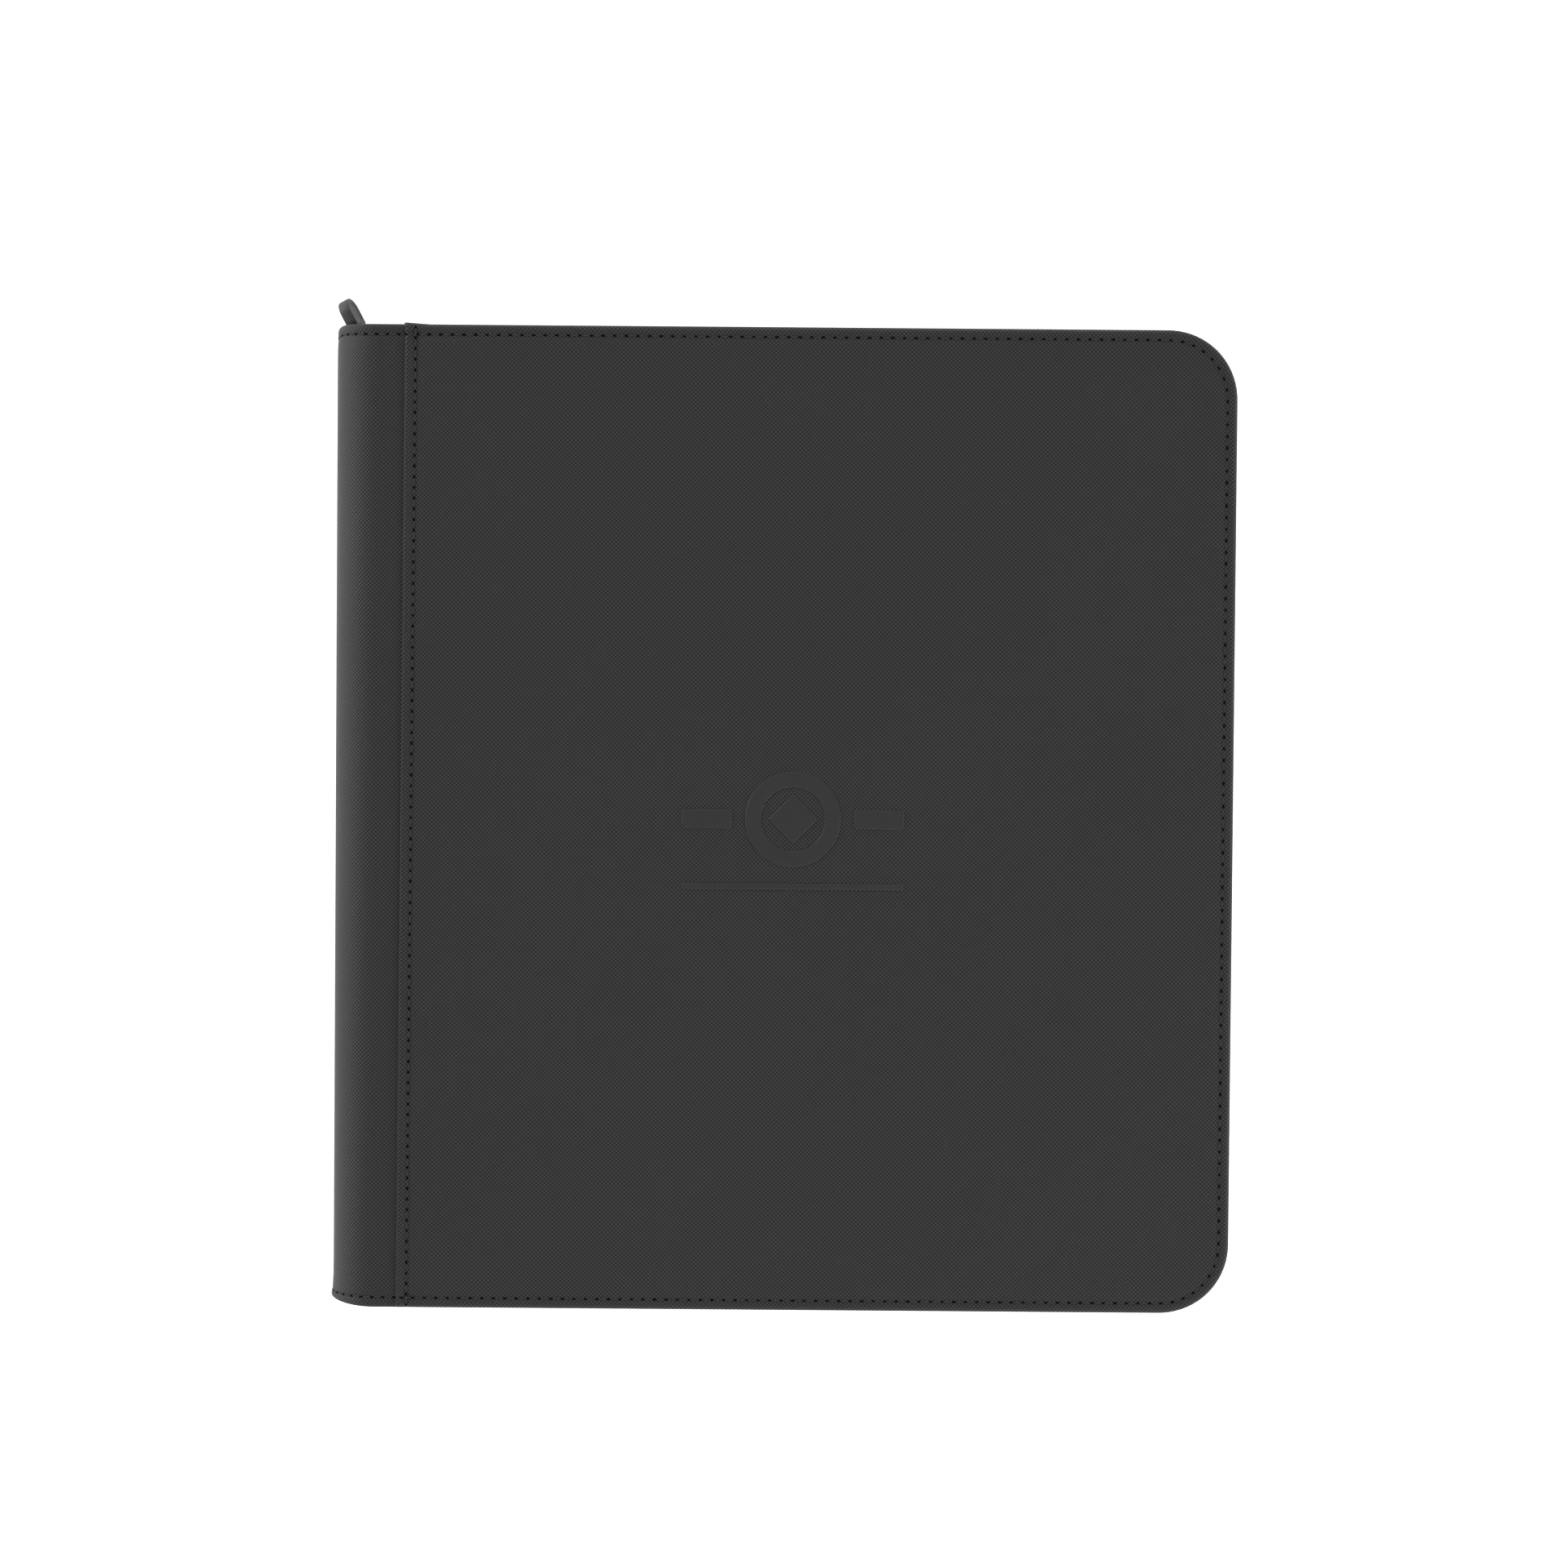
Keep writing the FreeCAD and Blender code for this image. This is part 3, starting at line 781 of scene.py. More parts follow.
class PocketGrid(GeometryGraph):
    """Rows and columns of film pillows over a page."""

    # points across and up a pillow, where its open side is, and how square its rise is
    POINTS = (14, 18)
    OPENING = 0.42
    SQUARENESS = 8.0

    def __init__(self, columns: int, rows: int) -> None:
        """Build the tree.

        Args:
            columns: Pockets across the page.
            rows: Pockets up the page.
        """
        super().__init__("pocket_grid", ("Pocket Width", "Pocket Height", "Weld", "Rise"))
        wide, high, weld = self.size("Pocket Width"), self.size("Pocket Height"), self.size("Weld")
        lattice = self.add("GeometryNodeMeshGrid", inputs={
            "Size X": (wide + weld) * (columns - 1.0), "Size Y": (high + weld) * (rows - 1.0),
            "Vertices X": columns, "Vertices Y": rows}).outputs[0]
        where = self.add("GeometryNodeInputPosition").outputs[0]
        anchor = self.add("GeometryNodeSampleIndex", {"data_type": "FLOAT_VECTOR"}, {
            "Geometry": self.inputs["Geometry"], "Value": where}).outputs[0]
        placed = self.add("GeometryNodeSetPosition",
                          inputs={"Geometry": lattice, "Offset": anchor}).outputs[0]
        sheet = self.add("GeometryNodeMeshGrid", inputs={
            "Size X": wide, "Size Y": high, "Vertices X": self.POINTS[0],
            "Vertices Y": self.POINTS[1]}).outputs[0]
        pillow = self.add("GeometryNodeSetPosition", inputs={
            "Geometry": sheet, "Offset": self.vector(0.0, 0.0, self._rise(wide, high))}).outputs[0]
        film = self.add("GeometryNodeInstanceOnPoints",
                        inputs={"Points": placed, "Instance": pillow}).outputs[0]
        self.feed(self.output, self.finished(film))

    def _rise(self, wide: Value, high: Value) -> Value:
        """Height of a pillow: zero on three welded sides, open on the fourth."""
        where = self.add("GeometryNodeInputPosition").outputs[0]
        parts = self.add("ShaderNodeSeparateXYZ", inputs={0: where}).outputs
        across = abs(Value(self, parts[0]) / wide + self.OPENING)
        along = abs(Value(self, parts[1]) / high * 2.0)
        raised = (1.0 - across ** self.SQUARENESS) * (1.0 - along ** self.SQUARENESS)
        return self.maths("MAXIMUM", raised) * self.size("Rise")


# --- covers


@dataclass(frozen=True)
class GridLine:
    """One line of a cover's grid."""

    place: float
    order: float
    inset: float
    drop: float
    stretch: float = 0.0
    sign: int = 1


# (inset from the edge, drop below the outer face), millimetres, from inside the cover outwards over
# the stitches' channel, round the turned edge and back along the inner face
RIM = ((11.0, 0.0), (8.0, 0.02), (6.2, 0.07), (5.0, 0.16), (4.2, 0.30), (3.6, 0.40), (3.0, 0.28),
       (2.4, 0.16), (1.8, 0.13), (1.2, 0.22), (0.7, 0.45), (0.32, 0.80), (0.08, 1.25), (0.0, 1.7),
       (0.06, 2.25), (0.35, 2.8), (0.9, 3.15), (2.2, 3.3), (4.5, 3.32), (8.4, 3.3))
# the same for the folded edge beside the spine
FOLD = ((13.0, 0.0), (9.0, 0.02), (6.8, 0.05), (5.4, 0.12), (4.5, 0.21), (3.75, 0.26), (3.0, 0.15),
        (2.2, -0.02), (1.4, -0.13), (0.85, -0.16), (0.42, -0.08), (0.14, 0.16), (0.0, 0.50),
        (-0.03, 0.9), (-0.05, 1.15))
# the outermost entry of RIM, and how far apart the lines after it count as
RIM_EDGE = 13
TURNED_STEP = 0.6 * MM
# the spine's turned ends, which are thinner from the rounding of the edge inwards
SPINE_END = RIM[:9] + tuple((inset, drop * 0.7) for inset, drop in RIM[9:])
# the front cover's padding raises its skin, most at the middle
FRONT_LIFT = 0.25 * MM
FRONT_CROWN = 0.3 * MM
STITCH_INSET = 3.6 * MM
STITCH_DROP = 0.40 * MM
SEAM_STITCH = 3.75 * MM
SEAM_DROP = 0.26 * MM
# the seam is sewn a little out of square: sideways per metre along it
SEAM_LEAN = 0.0048


@dataclass
class CoverSkin:
    """Outer skin of one padded cover, turned round its edge and folded at the seam."""

    side: Side
    finish: Material
    lift: float = 0.0
    crown: float = 0.0
    step: float = 2.5 * MM
    thickness: float = 0.5 * MM
    bulge: float = 0.6 * MM
    # where the bulge starts and ends beside the seam, and how deep it goes from the end
    bulge_run: tuple[float, float, float] = (0.8 * MM, 8.8 * MM, 11.0 * MM)
    # insets between which the crown rises, and x between which the seam's lean fades
    crown_run: tuple[float, float] = (4.0 * MM, 60.0 * MM)
    lean_run: tuple[float, float] = (8.0 * MM, 40.0 * MM)
    ripple: float = 0.10 * MM
    ripple_run: float = 30.0 * MM

    def _rim_lines(self, edge: float, sign: int) -> list[GridLine]:
        """Lines of the turned edge, from inside outwards.

        Args:
            edge: The cover's edge on this axis, as a positive distance.
            sign: Which way outwards is.

        Returns:
            The lines in order.
        """
        radius = SIZES.corner_radius
        lines = []
        stretch = 0.0
        last = None
        for number, (inset, drop) in enumerate(RIM):
            inset, drop = inset * MM, drop * MM
            if last is not None:
                length = math.hypot(inset - last[0], drop - last[1])
                stretch += length - (last[0] - inset)
            last = (inset, drop)
            beyond = max(0, number - RIM_EDGE)
            order = radius - inset if number <= RIM_EDGE else radius + beyond * TURNED_STEP
            lines.append(GridLine(sign * (edge - inset), order, inset, drop, stretch, sign))
        return lines

    def _columns(self) -> list[GridLine]:
        """Lines up the cover, from the folded edge to the opening edge."""
        radius = SIZES.corner_radius
        fold = [GridLine(SIZES.seam + inset * MM, 0.0, 1.0, drop * MM) for inset, drop in FOLD]
        inner = between(SIZES.seam + FOLD[0][0] * MM, SIZES.right - RIM[0][0] * MM, self.step)
        flat = [GridLine(x, max(0.0, radius - (SIZES.right - x)), SIZES.right - x, 0.0)
                for x in inner]
        return fold[::-1] + flat + self._rim_lines(SIZES.right, 1)

    def _rows(self) -> list[GridLine]:
        """Lines across the cover, from the bottom edge to the top edge."""
        radius, half = SIZES.corner_radius, SIZES.half_height
        edge = half - RIM[0][0] * MM
        flat = []
        for y in between(-edge, edge, self.step):
            inset = half - abs(y)
            sign = 1 if y > 0 else -1
            flat.append(GridLine(y, max(0.0, radius - inset), inset, 0.0, sign=sign))
        return self._rim_lines(half, -1)[::-1] + flat + self._rim_lines(half, 1)

    def _corner(self, column: GridLine, row: GridLine) -> tuple[float, float, float, float, float]:
        """A point in a rounded corner: place, drop and place on the cloth."""
        radius = SIZES.corner_radius
        outer = column if column.order >= row.order else row
        reach = math.hypot(column.order, row.order)
        across, up = column.order / reach, row.sign * row.order / reach
        x = SIZES.right - radius + (radius - outer.inset) * across
        y = row.sign * (SIZES.half_height - radius) + (radius - outer.inset) * up
        return x, y, outer.drop, x + across * outer.stretch, y + up * outer.stretch

    def height(self, x: float, y: float, drop: float = 0.0) -> float:
        """Outer face's height above the middle plane."""
        inset = min(x - SIZES.seam, SIZES.right - x, SIZES.half_height - abs(y))
        swell = self.crown * smooth(inset, *self.crown_run)
        ripple = self.ripple * math.sin(x * 31 + 0.7) * math.sin(y * 23 + x * 9) * bool(self.crown)
        fade = smooth(SIZES.cover - drop, 0.0, SIZES.cover)
        ripple *= smooth(inset, 0.0, self.ripple_run)
        return SIZES.middle - drop + (self.lift + swell + ripple) * fade

    def _fold_bulge(self, x: float, y: float) -> float:
        """How far the doubled fold pushes the cover's top end out beside the seam."""
        start, stop, depth = self.bulge_run
        near = 1 - min(1.0, max(0.0, (x - SIZES.seam - start) / (stop - start)))
        return self.bulge * near * smooth(y, SIZES.half_height - depth, SIZES.half_height)

    def make(self) -> Piece:
        """Build the skin piece."""
        columns, rows = self._columns(), self._rows()
        points, cloth = [], []
        for row in rows:
            for column in columns:
                if column.order > 0 and row.order > 0:
                    x, y, drop, u, v = self._corner(column, row)
                else:
                    x, y = column.place, row.place
                    drop = min(column.drop + row.drop, RIM[-1][1] * MM)
                    u, v = x + column.stretch, y + row.sign * row.stretch
                height = self.height(x, y, drop)
                lean = SEAM_LEAN * y * (1 - smooth(x - SIZES.seam, *self.lean_run))
                points.append((x + lean, y + self._fold_bulge(x, y),
                               SIZES.middle + self.side.value * height))
                cloth.append((u, v))
        faces = grid_faces(len(rows), len(columns), self.side is Side.BACK)
        piece = new_piece(f"cover_skin_{self.side.word}", points, faces, self.finish)
        set_uv(piece, cloth)
        thicken(piece, self.thickness)
        return settle(piece, self.side.body, [f"{self.side.word}_skin"])


@dataclass
class Emblem:
    """A plain raised mark on the front: a ring round a lozenge between two bars, over a rule."""

    skin: CoverSkin
    finish: Material
    centre: tuple[float, float] = (3.5 * MM, 0.5 * MM)
    ring: tuple[float, float] = (11.4 * MM, 17.0 * MM)
    lozenge: float = 6.3 * MM
    bar: tuple[float, float] = (8.8 * MM, 3.4 * MM)
    bar_place: float = 30.6 * MM
    rule: tuple[float, float] = (39.4 * MM, 1.1 * MM)
    rule_place: float = -24.0 * MM
    corner: float = 0.9 * MM
    # (inset, height) of the rounded edge, from the skin up
    edge: tuple[tuple[float, float], ...] = (
        (0.0, -0.15 * MM), (0.0, 0.10 * MM), (0.09 * MM, 0.22 * MM), (0.26 * MM, 0.30 * MM),
        (0.55 * MM, 0.33 * MM))
    ring_steps: int = 96
    corner_steps: int = 5

    def _point(self, across: float, up: float, rise: float) -> Point:
        """A point at a height above the skin, which it follows."""
        x, y = self.centre[0] + across, self.centre[1] + up
        return (x, y, SIZES.middle + self.skin.height(x, y) + rise)

    def _outline(self, half: tuple[float, float], inset: float,
                 turn: float = 0.0) -> list[tuple[float, float]]:
        """A rectangle with round corners, (across, up), anticlockwise.

        Args:
            half: Half its width and half its height.
            inset: Distance inside its full size.
            turn: Its angle, in radians.

        Returns:
            Its points.
        """
        radius = max(self.corner - inset, 0.05 * MM)
        outline = []
        for number, (side_x, side_y) in enumerate(((1, 1), (-1, 1), (-1, -1), (1, -1))):
            corner_x = side_x * (half[0] - inset - radius)
            corner_y = side_y * (half[1] - inset - radius)
            for step in range(self.corner_steps + 1):
                angle = math.pi / 2 * (number + step / self.corner_steps)
                x = corner_x + radius * math.cos(angle)
                y = corner_y + radius * math.sin(angle)
                outline.append((x * math.cos(turn) - y * math.sin(turn),
                                x * math.sin(turn) + y * math.cos(turn)))
        return outline

    def _pad(self, name: str, half: tuple[float, float], place: tuple[float, float] = (0.0, 0.0),
             turn: float = 0.0) -> Piece:
        """One raised rectangle with a rounded edge."""
        rings = [[self._point(place[0] + x, place[1] + y, rise)
                  for x, y in self._outline(half, inset, turn)] for inset, rise in self.edge]
        return lofted(name, rings, self.finish, flipped=True)

    def _ring(self) -> Piece:
        """The raised ring."""
        inner, outer = self.ring
        section = [(outer - inset, rise) for inset, rise in self.edge]
        section += [(inner + inset, rise) for inset, rise in reversed(self.edge)]
        rings = []
        for step in range(self.ring_steps):
            angle = 2 * math.pi * step / self.ring_steps
            rings.append([self._point(radius * math.cos(angle), radius * math.sin(angle), rise)
                          for radius, rise in section])
        return lofted("emblem_ring", rings, self.finish, closed=True)

    def make(self) -> Piece:
        """Build the mark as one piece on the front cover."""
        parts = [self._ring(),
                 self._pad("emblem_lozenge", (self.lozenge, self.lozenge), turn=math.pi / 4),
                 self._pad("emblem_rule", self.rule, (0.0, self.rule_place))]
        for sign in (-1, 1):
            parts.append(self._pad(f"emblem_bar_{sign}", self.bar, (sign * self.bar_place, 0.0)))
        return settle(join_pieces("cover_emblem", parts), Body.FRONT)


# --- spine


class SpineLayer(Enum):
    """A layer of the spine: its two depths below the outer face, in millimetres."""

    WRAP = (0.0, 0.55)
    PADDING = (0.75, 2.75)
    LINING = (2.9, 3.2)


Station = tuple[float, float, float, float, float]


@dataclass
class SpineHalf:
    """Half of the rounded spine, from a cover's seam to the spine's middle line."""

    side: Side
    under_seam: float = 5.0 * MM
    arc_steps: int = 22
    flat_steps: int = 8
    step: float = 6.0 * MM
    # how far the layers under the wrap stop short of each end
    hidden_end: float = 9.0 * MM
    seam_dip: float = 0.62 * MM
    # the dip runs from this far inside the spine's centre line to this far short of the seam
    dip_run: tuple[float, float] = (12.0 * MM, 1.0 * MM)
    # half the height of the middle band that keeps its shape, beside the parked pull
    held: float = 5.0 * MM
    flare: float = 1.1 * MM
    flare_length: float = 15.0 * MM
    # how far the rounded part draws in at an end, the power of its curve, and how deep that goes
    top_recede: tuple[float, float, float] = (1.9 * MM, 2.2, 20.0 * MM)
    bottom_recede: tuple[float, float, float] = (2.45 * MM, 1.05, 6.5 * MM)

    def section(self) -> list[Station]:
        """The half's outline: x, z above middle, outward normal and length so far."""
        radius, centre = SIZES.spine_radius, SIZES.spine_centre
        start = SIZES.seam + self.under_seam
        outline = []
        for step in range(self.flat_steps):
            run = (start - centre) * step / self.flat_steps
            outline.append((start - run, radius, 0.0, 1.0, run))
        for step in range(self.arc_steps + 1):
            angle = math.pi / 2 * (1 + step / self.arc_steps)
            across, up = math.cos(angle), math.sin(angle)
            run = start - centre + radius * (angle - math.pi / 2)
            outline.append((centre + radius * across, radius * up, across, up, run))
        return outline

    def point(self, station: Station, depth: float, inset: float, sign: int) -> Point:
        """A point of the half.

        Args:
            station: One entry of the outline.
            depth: How deep below the outer face.
            inset: Distance from the spine's end.
            sign: 1 at the top end, -1 at the bottom end.

        Returns:
            The point in the frame.
        """
        x, rise, across, up, _ = station
        turned = 1 - up
        dip = self.seam_dip * smooth(x, SIZES.spine_centre - self.dip_run[0],
                                      SIZES.seam - self.dip_run[1])
        near_end = 1 - min(1.0, inset / self.flare_length) if sign < 0 else 0.0
        flare = self.flare * near_end ** 2 * smooth(turned, 0.2, 1.0)
        most, power, reach = self.top_recede if sign > 0 else self.bottom_recede
        recede = most * max(0.0, turned) ** power
        fade = 1 - smooth(inset, 0.0, reach)
        out = flare - depth - dip
        y = sign * (SIZES.half_height - inset - recede * fade)
        return (x + across * out, y, SIZES.middle + self.side.value * (rise + up * out))

    def blend(self, piece: Piece) -> None:
        """Bake a piece's transform into its mesh."""
        if self.side is Side.FRONT:
            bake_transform(piece)
        else:
            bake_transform(piece)

    def _rows(self, turned_edge: bool) -> list[tuple[float, float, int]]:
        """(inset, drop, end) of each line across the spine, from bottom to top."""
        if turned_edge:
            ends = [(inset * MM, drop * MM) for inset, drop in SPINE_END]
        else:
            ends = [(self.hidden_end + 2.0 * MM, 0.0), (self.hidden_end, 0.0)]
        reach = SIZES.half_height - ends[0][0]
        middle = between(-reach, reach, self.step)
        rows = [(inset, drop, -1) for inset, drop in reversed(ends)]
        rows += [(SIZES.half_height - abs(y), 0.0, 1 if y > 0 else -1) for y in middle]
        rows += [(inset, drop, 1) for inset, drop in ends]
        return rows

    def layer(self, layer: SpineLayer, finish: Material, slot: str) -> None:
        """Build one layer as a sheet.

        Args:
            layer: Which layer.
            finish: Its material.
            slot: The record's material slot; not used.
        """
        word = layer.name.lower()
        name = f"spine_{word}_{self.side.word}_half"
        outer, inner = (depth * MM for depth in layer.value)
        stations = self.section()
        rows = self._rows(layer is SpineLayer.WRAP)
        points, cloth = [], []
        for inset, drop, sign in rows:
            for station in stations:
                points.append(self.point(station, outer + drop, inset, sign))
                cloth.append((SIZES.left - station[4], sign * (SIZES.half_height - inset + drop)))
        # outward faces: the outline runs towards the spine, so the front half is turned over
        faces = grid_faces(len(rows), len(stations), self.side is Side.FRONT)
        piece = new_piece(name, points, faces, finish)
        set_uv(piece, cloth)
        thicken(piece, inner - outer)
        piece = applied(piece, name)
        self.blend(piece)
        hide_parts(f"crease_{word}_{self.side.word}", f"spine_{word}")
        if layer is not SpineLayer.PADDING:
            self.flat_size(layer)
        LOG.info("%s bends at the %s crease", name, self.side.word)

    def flat_size(self, layer: SpineLayer) -> tuple[float, float]:
        """Width and length that the half's cloth was cut to."""
        depth = layer.value[0] * MM
        radius = SIZES.spine_radius - depth
        start = SIZES.seam + self.under_seam
        width = start - SIZES.spine_centre + radius * math.pi / 2
        length = SIZES.half_height * 2
        if layer is SpineLayer.WRAP:
            length += sum(SPINE_END[-1]) * 2 * MM
        else:
            length -= self.hidden_end * 2
        return width, length


def build_spine(finishes: Finishes) -> None:
    """Build the wrap, the padding and the lining, each in two halves."""
    for side in Side:
        half = SpineHalf(side)
        half.layer(SpineLayer.WRAP, finishes.skin, "weave_skin")
        half.layer(SpineLayer.PADDING, finishes.foam, "padding_foam")
        half.layer(SpineLayer.LINING, finishes.lining, "lining_cloth")


# --- stitching


def rim_path(inset: float, start_x: float, height: float, arc_steps: int = 16) -> list[Point]:
    """A path round a cover's three free edges, from the top near the spine to the bottom.

    Args:
        inset: Distance inside the edge.
        start_x: Where it starts and ends beside the spine.
        height: Its z.
        arc_steps: Straight pieces in each corner.

    Returns:
        Points along the path.
    """
    radius = SIZES.corner_radius - inset
    centre_x, centre_y = SIZES.right - SIZES.corner_radius, SIZES.half_height - SIZES.corner_radius
    path = [(start_x, SIZES.half_height - inset, height)]
    for sign, first in ((1, math.pi / 2), (-1, 0.0)):
        for step in range(arc_steps + 1):
            angle = first - math.pi / 2 * step / arc_steps
            path.append((centre_x + radius * math.cos(angle),
                         sign * centre_y + radius * math.sin(angle), height))
    path.append((start_x, -(SIZES.half_height - inset), height))
    return path


def path_piece(name: str, path: Sequence[Point], finish: Material) -> Piece:
    """A loose line of edges for a node tree to follow."""
    edges = [(number, number + 1) for number in range(len(path) - 1)]
    return new_piece(name, path, [], finish, edges=edges)


@dataclass
class Stitching:
    """Lockstitch round a cover, beside the seam and across the spine's ends."""

    flat_row: StitchRow
    curved_row: StitchRow
    thread: Material
    # finish of the dark beads that paint the needle holes' shade
    needle_hole_shade: Material
    pitch: float = 4.1 * MM
    seam_pitch: float = 3.8 * MM
    length: float = 2.9 * MM
    width: float = 0.74 * MM
    height: float = 0.52 * MM
    hole: float = 1.3 * MM
    spread: float = 0.13
    proud: float = 0.10 * MM
    # the edge's row starts this far beside the fold, and the spine's rows are this much closer
    start: float = 1.2 * MM
    spine_share: float = 0.92
    # the seam's row stops short of the ends, and slopes down over its last part
    end_gap: float = 1.1 * MM
    end_slope: tuple[float, float] = (1.8 * MM, 0.3 * MM)

    def _sew(self, row: StitchRow, name: str, path: Sequence[Point], pitch: float) -> Piece:
        """Stitches along one path."""
        seed = path_piece(name, path, self.thread)
        return row.run(seed, name, Finish=self.thread, Hole_Finish=self.needle_hole_shade, Pitch=pitch,
                       Length=self.length, Width=self.width, Height=self.height,
                       Hole=self.hole, Spread=self.spread)

    def cover(self, side: Side, lift: float) -> None:
        """Sew one cover's edge and its folded edge."""
        height = SIZES.middle + side.value * (SIZES.middle - STITCH_DROP + self.proud + lift)
        edge = self._sew(self.flat_row, f"edge_stitches_{side.word}",
                         rim_path(STITCH_INSET, SIZES.seam + self.start, height), self.pitch)
        settle(edge, side.body)
        height = SIZES.middle + side.value * (SIZES.middle - SEAM_DROP + self.proud + lift)
        reach = SIZES.half_height - self.end_gap
        lean = SEAM_LEAN * reach
        x = SIZES.seam + SEAM_STITCH
        run, fall = self.end_slope
        low = height - side.value * fall
        seam = self._sew(self.flat_row, f"seam_stitches_{side.word}",
                         [(x + lean, reach, low), (x + lean, reach - run, height),
                          (x - lean, -reach + run, height), (x - lean, -reach, low)],
                         self.seam_pitch)
        settle(seam, side.body)

    def spine_ends(self, side: Side) -> None:
        """Sew across both ends of one half of the spine."""
        half = SpineHalf(side)
        for sign, word in ((1, "top"), (-1, "bottom")):
            stations = [station for station in half.section() if station[0] < SIZES.seam]
            path = [half.point(station, STITCH_DROP - self.proud, STITCH_INSET, sign)
                    for station in stations]
            name = f"spine_stitches_{side.word}_{word}"
            sewn = self._sew(self.curved_row, name, path, self.pitch * self.spine_share)
            half.blend(sewn)


# --- zip


@dataclass
class Zip:
    """Coil rows, slider and pull."""

    row: ToothRow
    finishes: Finishes
    tooth_pitch: float = 2.0 * MM
    tooth: tuple[float, float, float] = (0.72 * MM, 1.7 * MM, 2.7 * MM)
    reach_over: float = 0.35 * MM
    core: float = 0.42 * MM
    plate: float = 1.0 * MM
    plate_depth: float = 3.3 * MM
    # where the divider starts and ends behind the mouth, and its thickness
    divider: tuple[float, float, float] = (0.6 * MM, 4.0 * MM, 0.6 * MM)
    lug: float = 0.8 * MM
    lug_margin: float = 0.6 * MM
    # how far the lugs go into the plate and past the pin
    lug_ends: tuple[float, float] = (0.2 * MM, 0.5 * MM)
    plate_edge: float = 0.25 * MM
    block_edge: float = 0.18 * MM
    # (share of the length, share of the width) of a plate, from the mouth to the tail
    outline: tuple[tuple[float, float], ...] = (
        (0.0, 0.70), (0.10, 0.92), (0.32, 1.0), (0.62, 0.84), (0.90, 0.70), (1.0, 0.52))
    pull_lean: float = 28.0
    pull_roll: float = -17.0

    def coils(self) -> None:
        """Build both coil rows; their teeth mesh in the middle plane."""
        for side in Side:
            low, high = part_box(f"zip_coil_{side.word}")
            _, tape_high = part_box(f"zip_tape_{side.word}")
            inset = SIZES.half_height - (high.y + tape_high.y) / 2
            near = SIZES.middle + side.value * (self.tooth[2] / 2 - self.reach_over)
            name = f"zip_teeth_{side.word}"
            seed = path_piece(name, rim_path(inset, low.x, near, 20), self.finishes.coil)
            teeth = self.row.run(seed, name, Finish=self.finishes.coil, Pitch=self.tooth_pitch,
                                 Shift=0.5 if side is Side.FRONT else 0.0, Length=self.tooth[0],
                                 Width=self.tooth[1], Height=self.tooth[2], Core=self.core)
            settle(teeth, side.body, [f"zip_coil_{side.word}"])

    def slider(self) -> None:
        """Build the slider's two shaped plates, its divider and its two lugs."""
        low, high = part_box("slider_body")
        pin_low, pin_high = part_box("slider_pin")
        outer_y, inner_y = high.y - self.plate_depth, low.y + self.plate
        pieces = [self._plate("slider_plate_0", low, high, outer_y, outer_y - self.plate),
                  self._plate("slider_plate_1", low, high, inner_y, low.y)]
        half = self.divider[2] / 2
        pieces.append(self._block("slider_divider",
                                  (low.x + self.divider[0], low.y, SIZES.middle - half),
                                  (low.x + self.divider[1], outer_y, SIZES.middle + half)))
        for name, z in (("slider_lug_lower", low.z), ("slider_lug_upper", high.z - self.lug)):
            pieces.append(self._block(
                name, (pin_low.x - self.lug_margin, outer_y - self.lug_ends[0], z),
                (pin_high.x + self.lug_margin, pin_high.y + self.lug_ends[1], z + self.lug)))
        joined = join_pieces("slider_casting", pieces)
        settle(joined, Body.SLIDER, ["slider_body"])

    def _plate(self, name: str, low: Vector, high: Vector, outer: float, inner: float) -> Piece:
        """One slider plate, wide at the mouth and narrow at the tail."""
        middle, half = (low.z + high.z) / 2, (high.z - low.z) / 2
        sides = [(low.x + (high.x - low.x) * share, half * width) for share, width in self.outline]
        ring = [(x, middle - w) for x, w in sides] + [(x, middle + w) for x, w in reversed(sides)]
        rings = [[(x, y, z) for x, z in ring] for y in (outer, inner)]
        return self._rounded(lofted(name, rings, self.finishes.metal), self.plate_edge)

    def _block(self, name: str, low: Point, high: Point) -> Piece:
        """A small block with rounded edges."""
        xs, ys, zs = zip(low, high)
        points = [(x, y, z) for x in xs for y in ys for z in zs]
        faces = [(0, 1, 3, 2), (4, 6, 7, 5), (0, 4, 5, 1), (2, 3, 7, 6), (0, 2, 6, 4), (1, 5, 7, 3)]
        return self._rounded(new_piece(name, points, faces, self.finishes.metal), self.block_edge)

    @staticmethod
    def _rounded(piece: Piece, radius: float) -> Piece:
        """Bevel a small casting's edges."""
        bevel = piece.modifiers.new("edges", "BEVEL")
        bevel.width = radius
        bevel.segments = 3
        return applied(piece, piece.name)

    def pull(self) -> None:
        """Build the moulded pull along its own axis, then lean and roll it into place."""
        pin_low, pin_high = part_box("slider_pin")
        pin = (pin_low + pin_high) / 2
        lean = Matrix.Rotation(math.radians(self.pull_lean), 4, "Z")
        roll = Matrix.Rotation(math.radians(self.pull_roll), 4, "Y")
        place = Matrix.Translation(pin) @ lean @ roll
        tongue = PullTongue(self.finishes.pull).make()
        tongue.data.transform(place)
        settle(tongue, Body.PULL, ["pull_tab"])


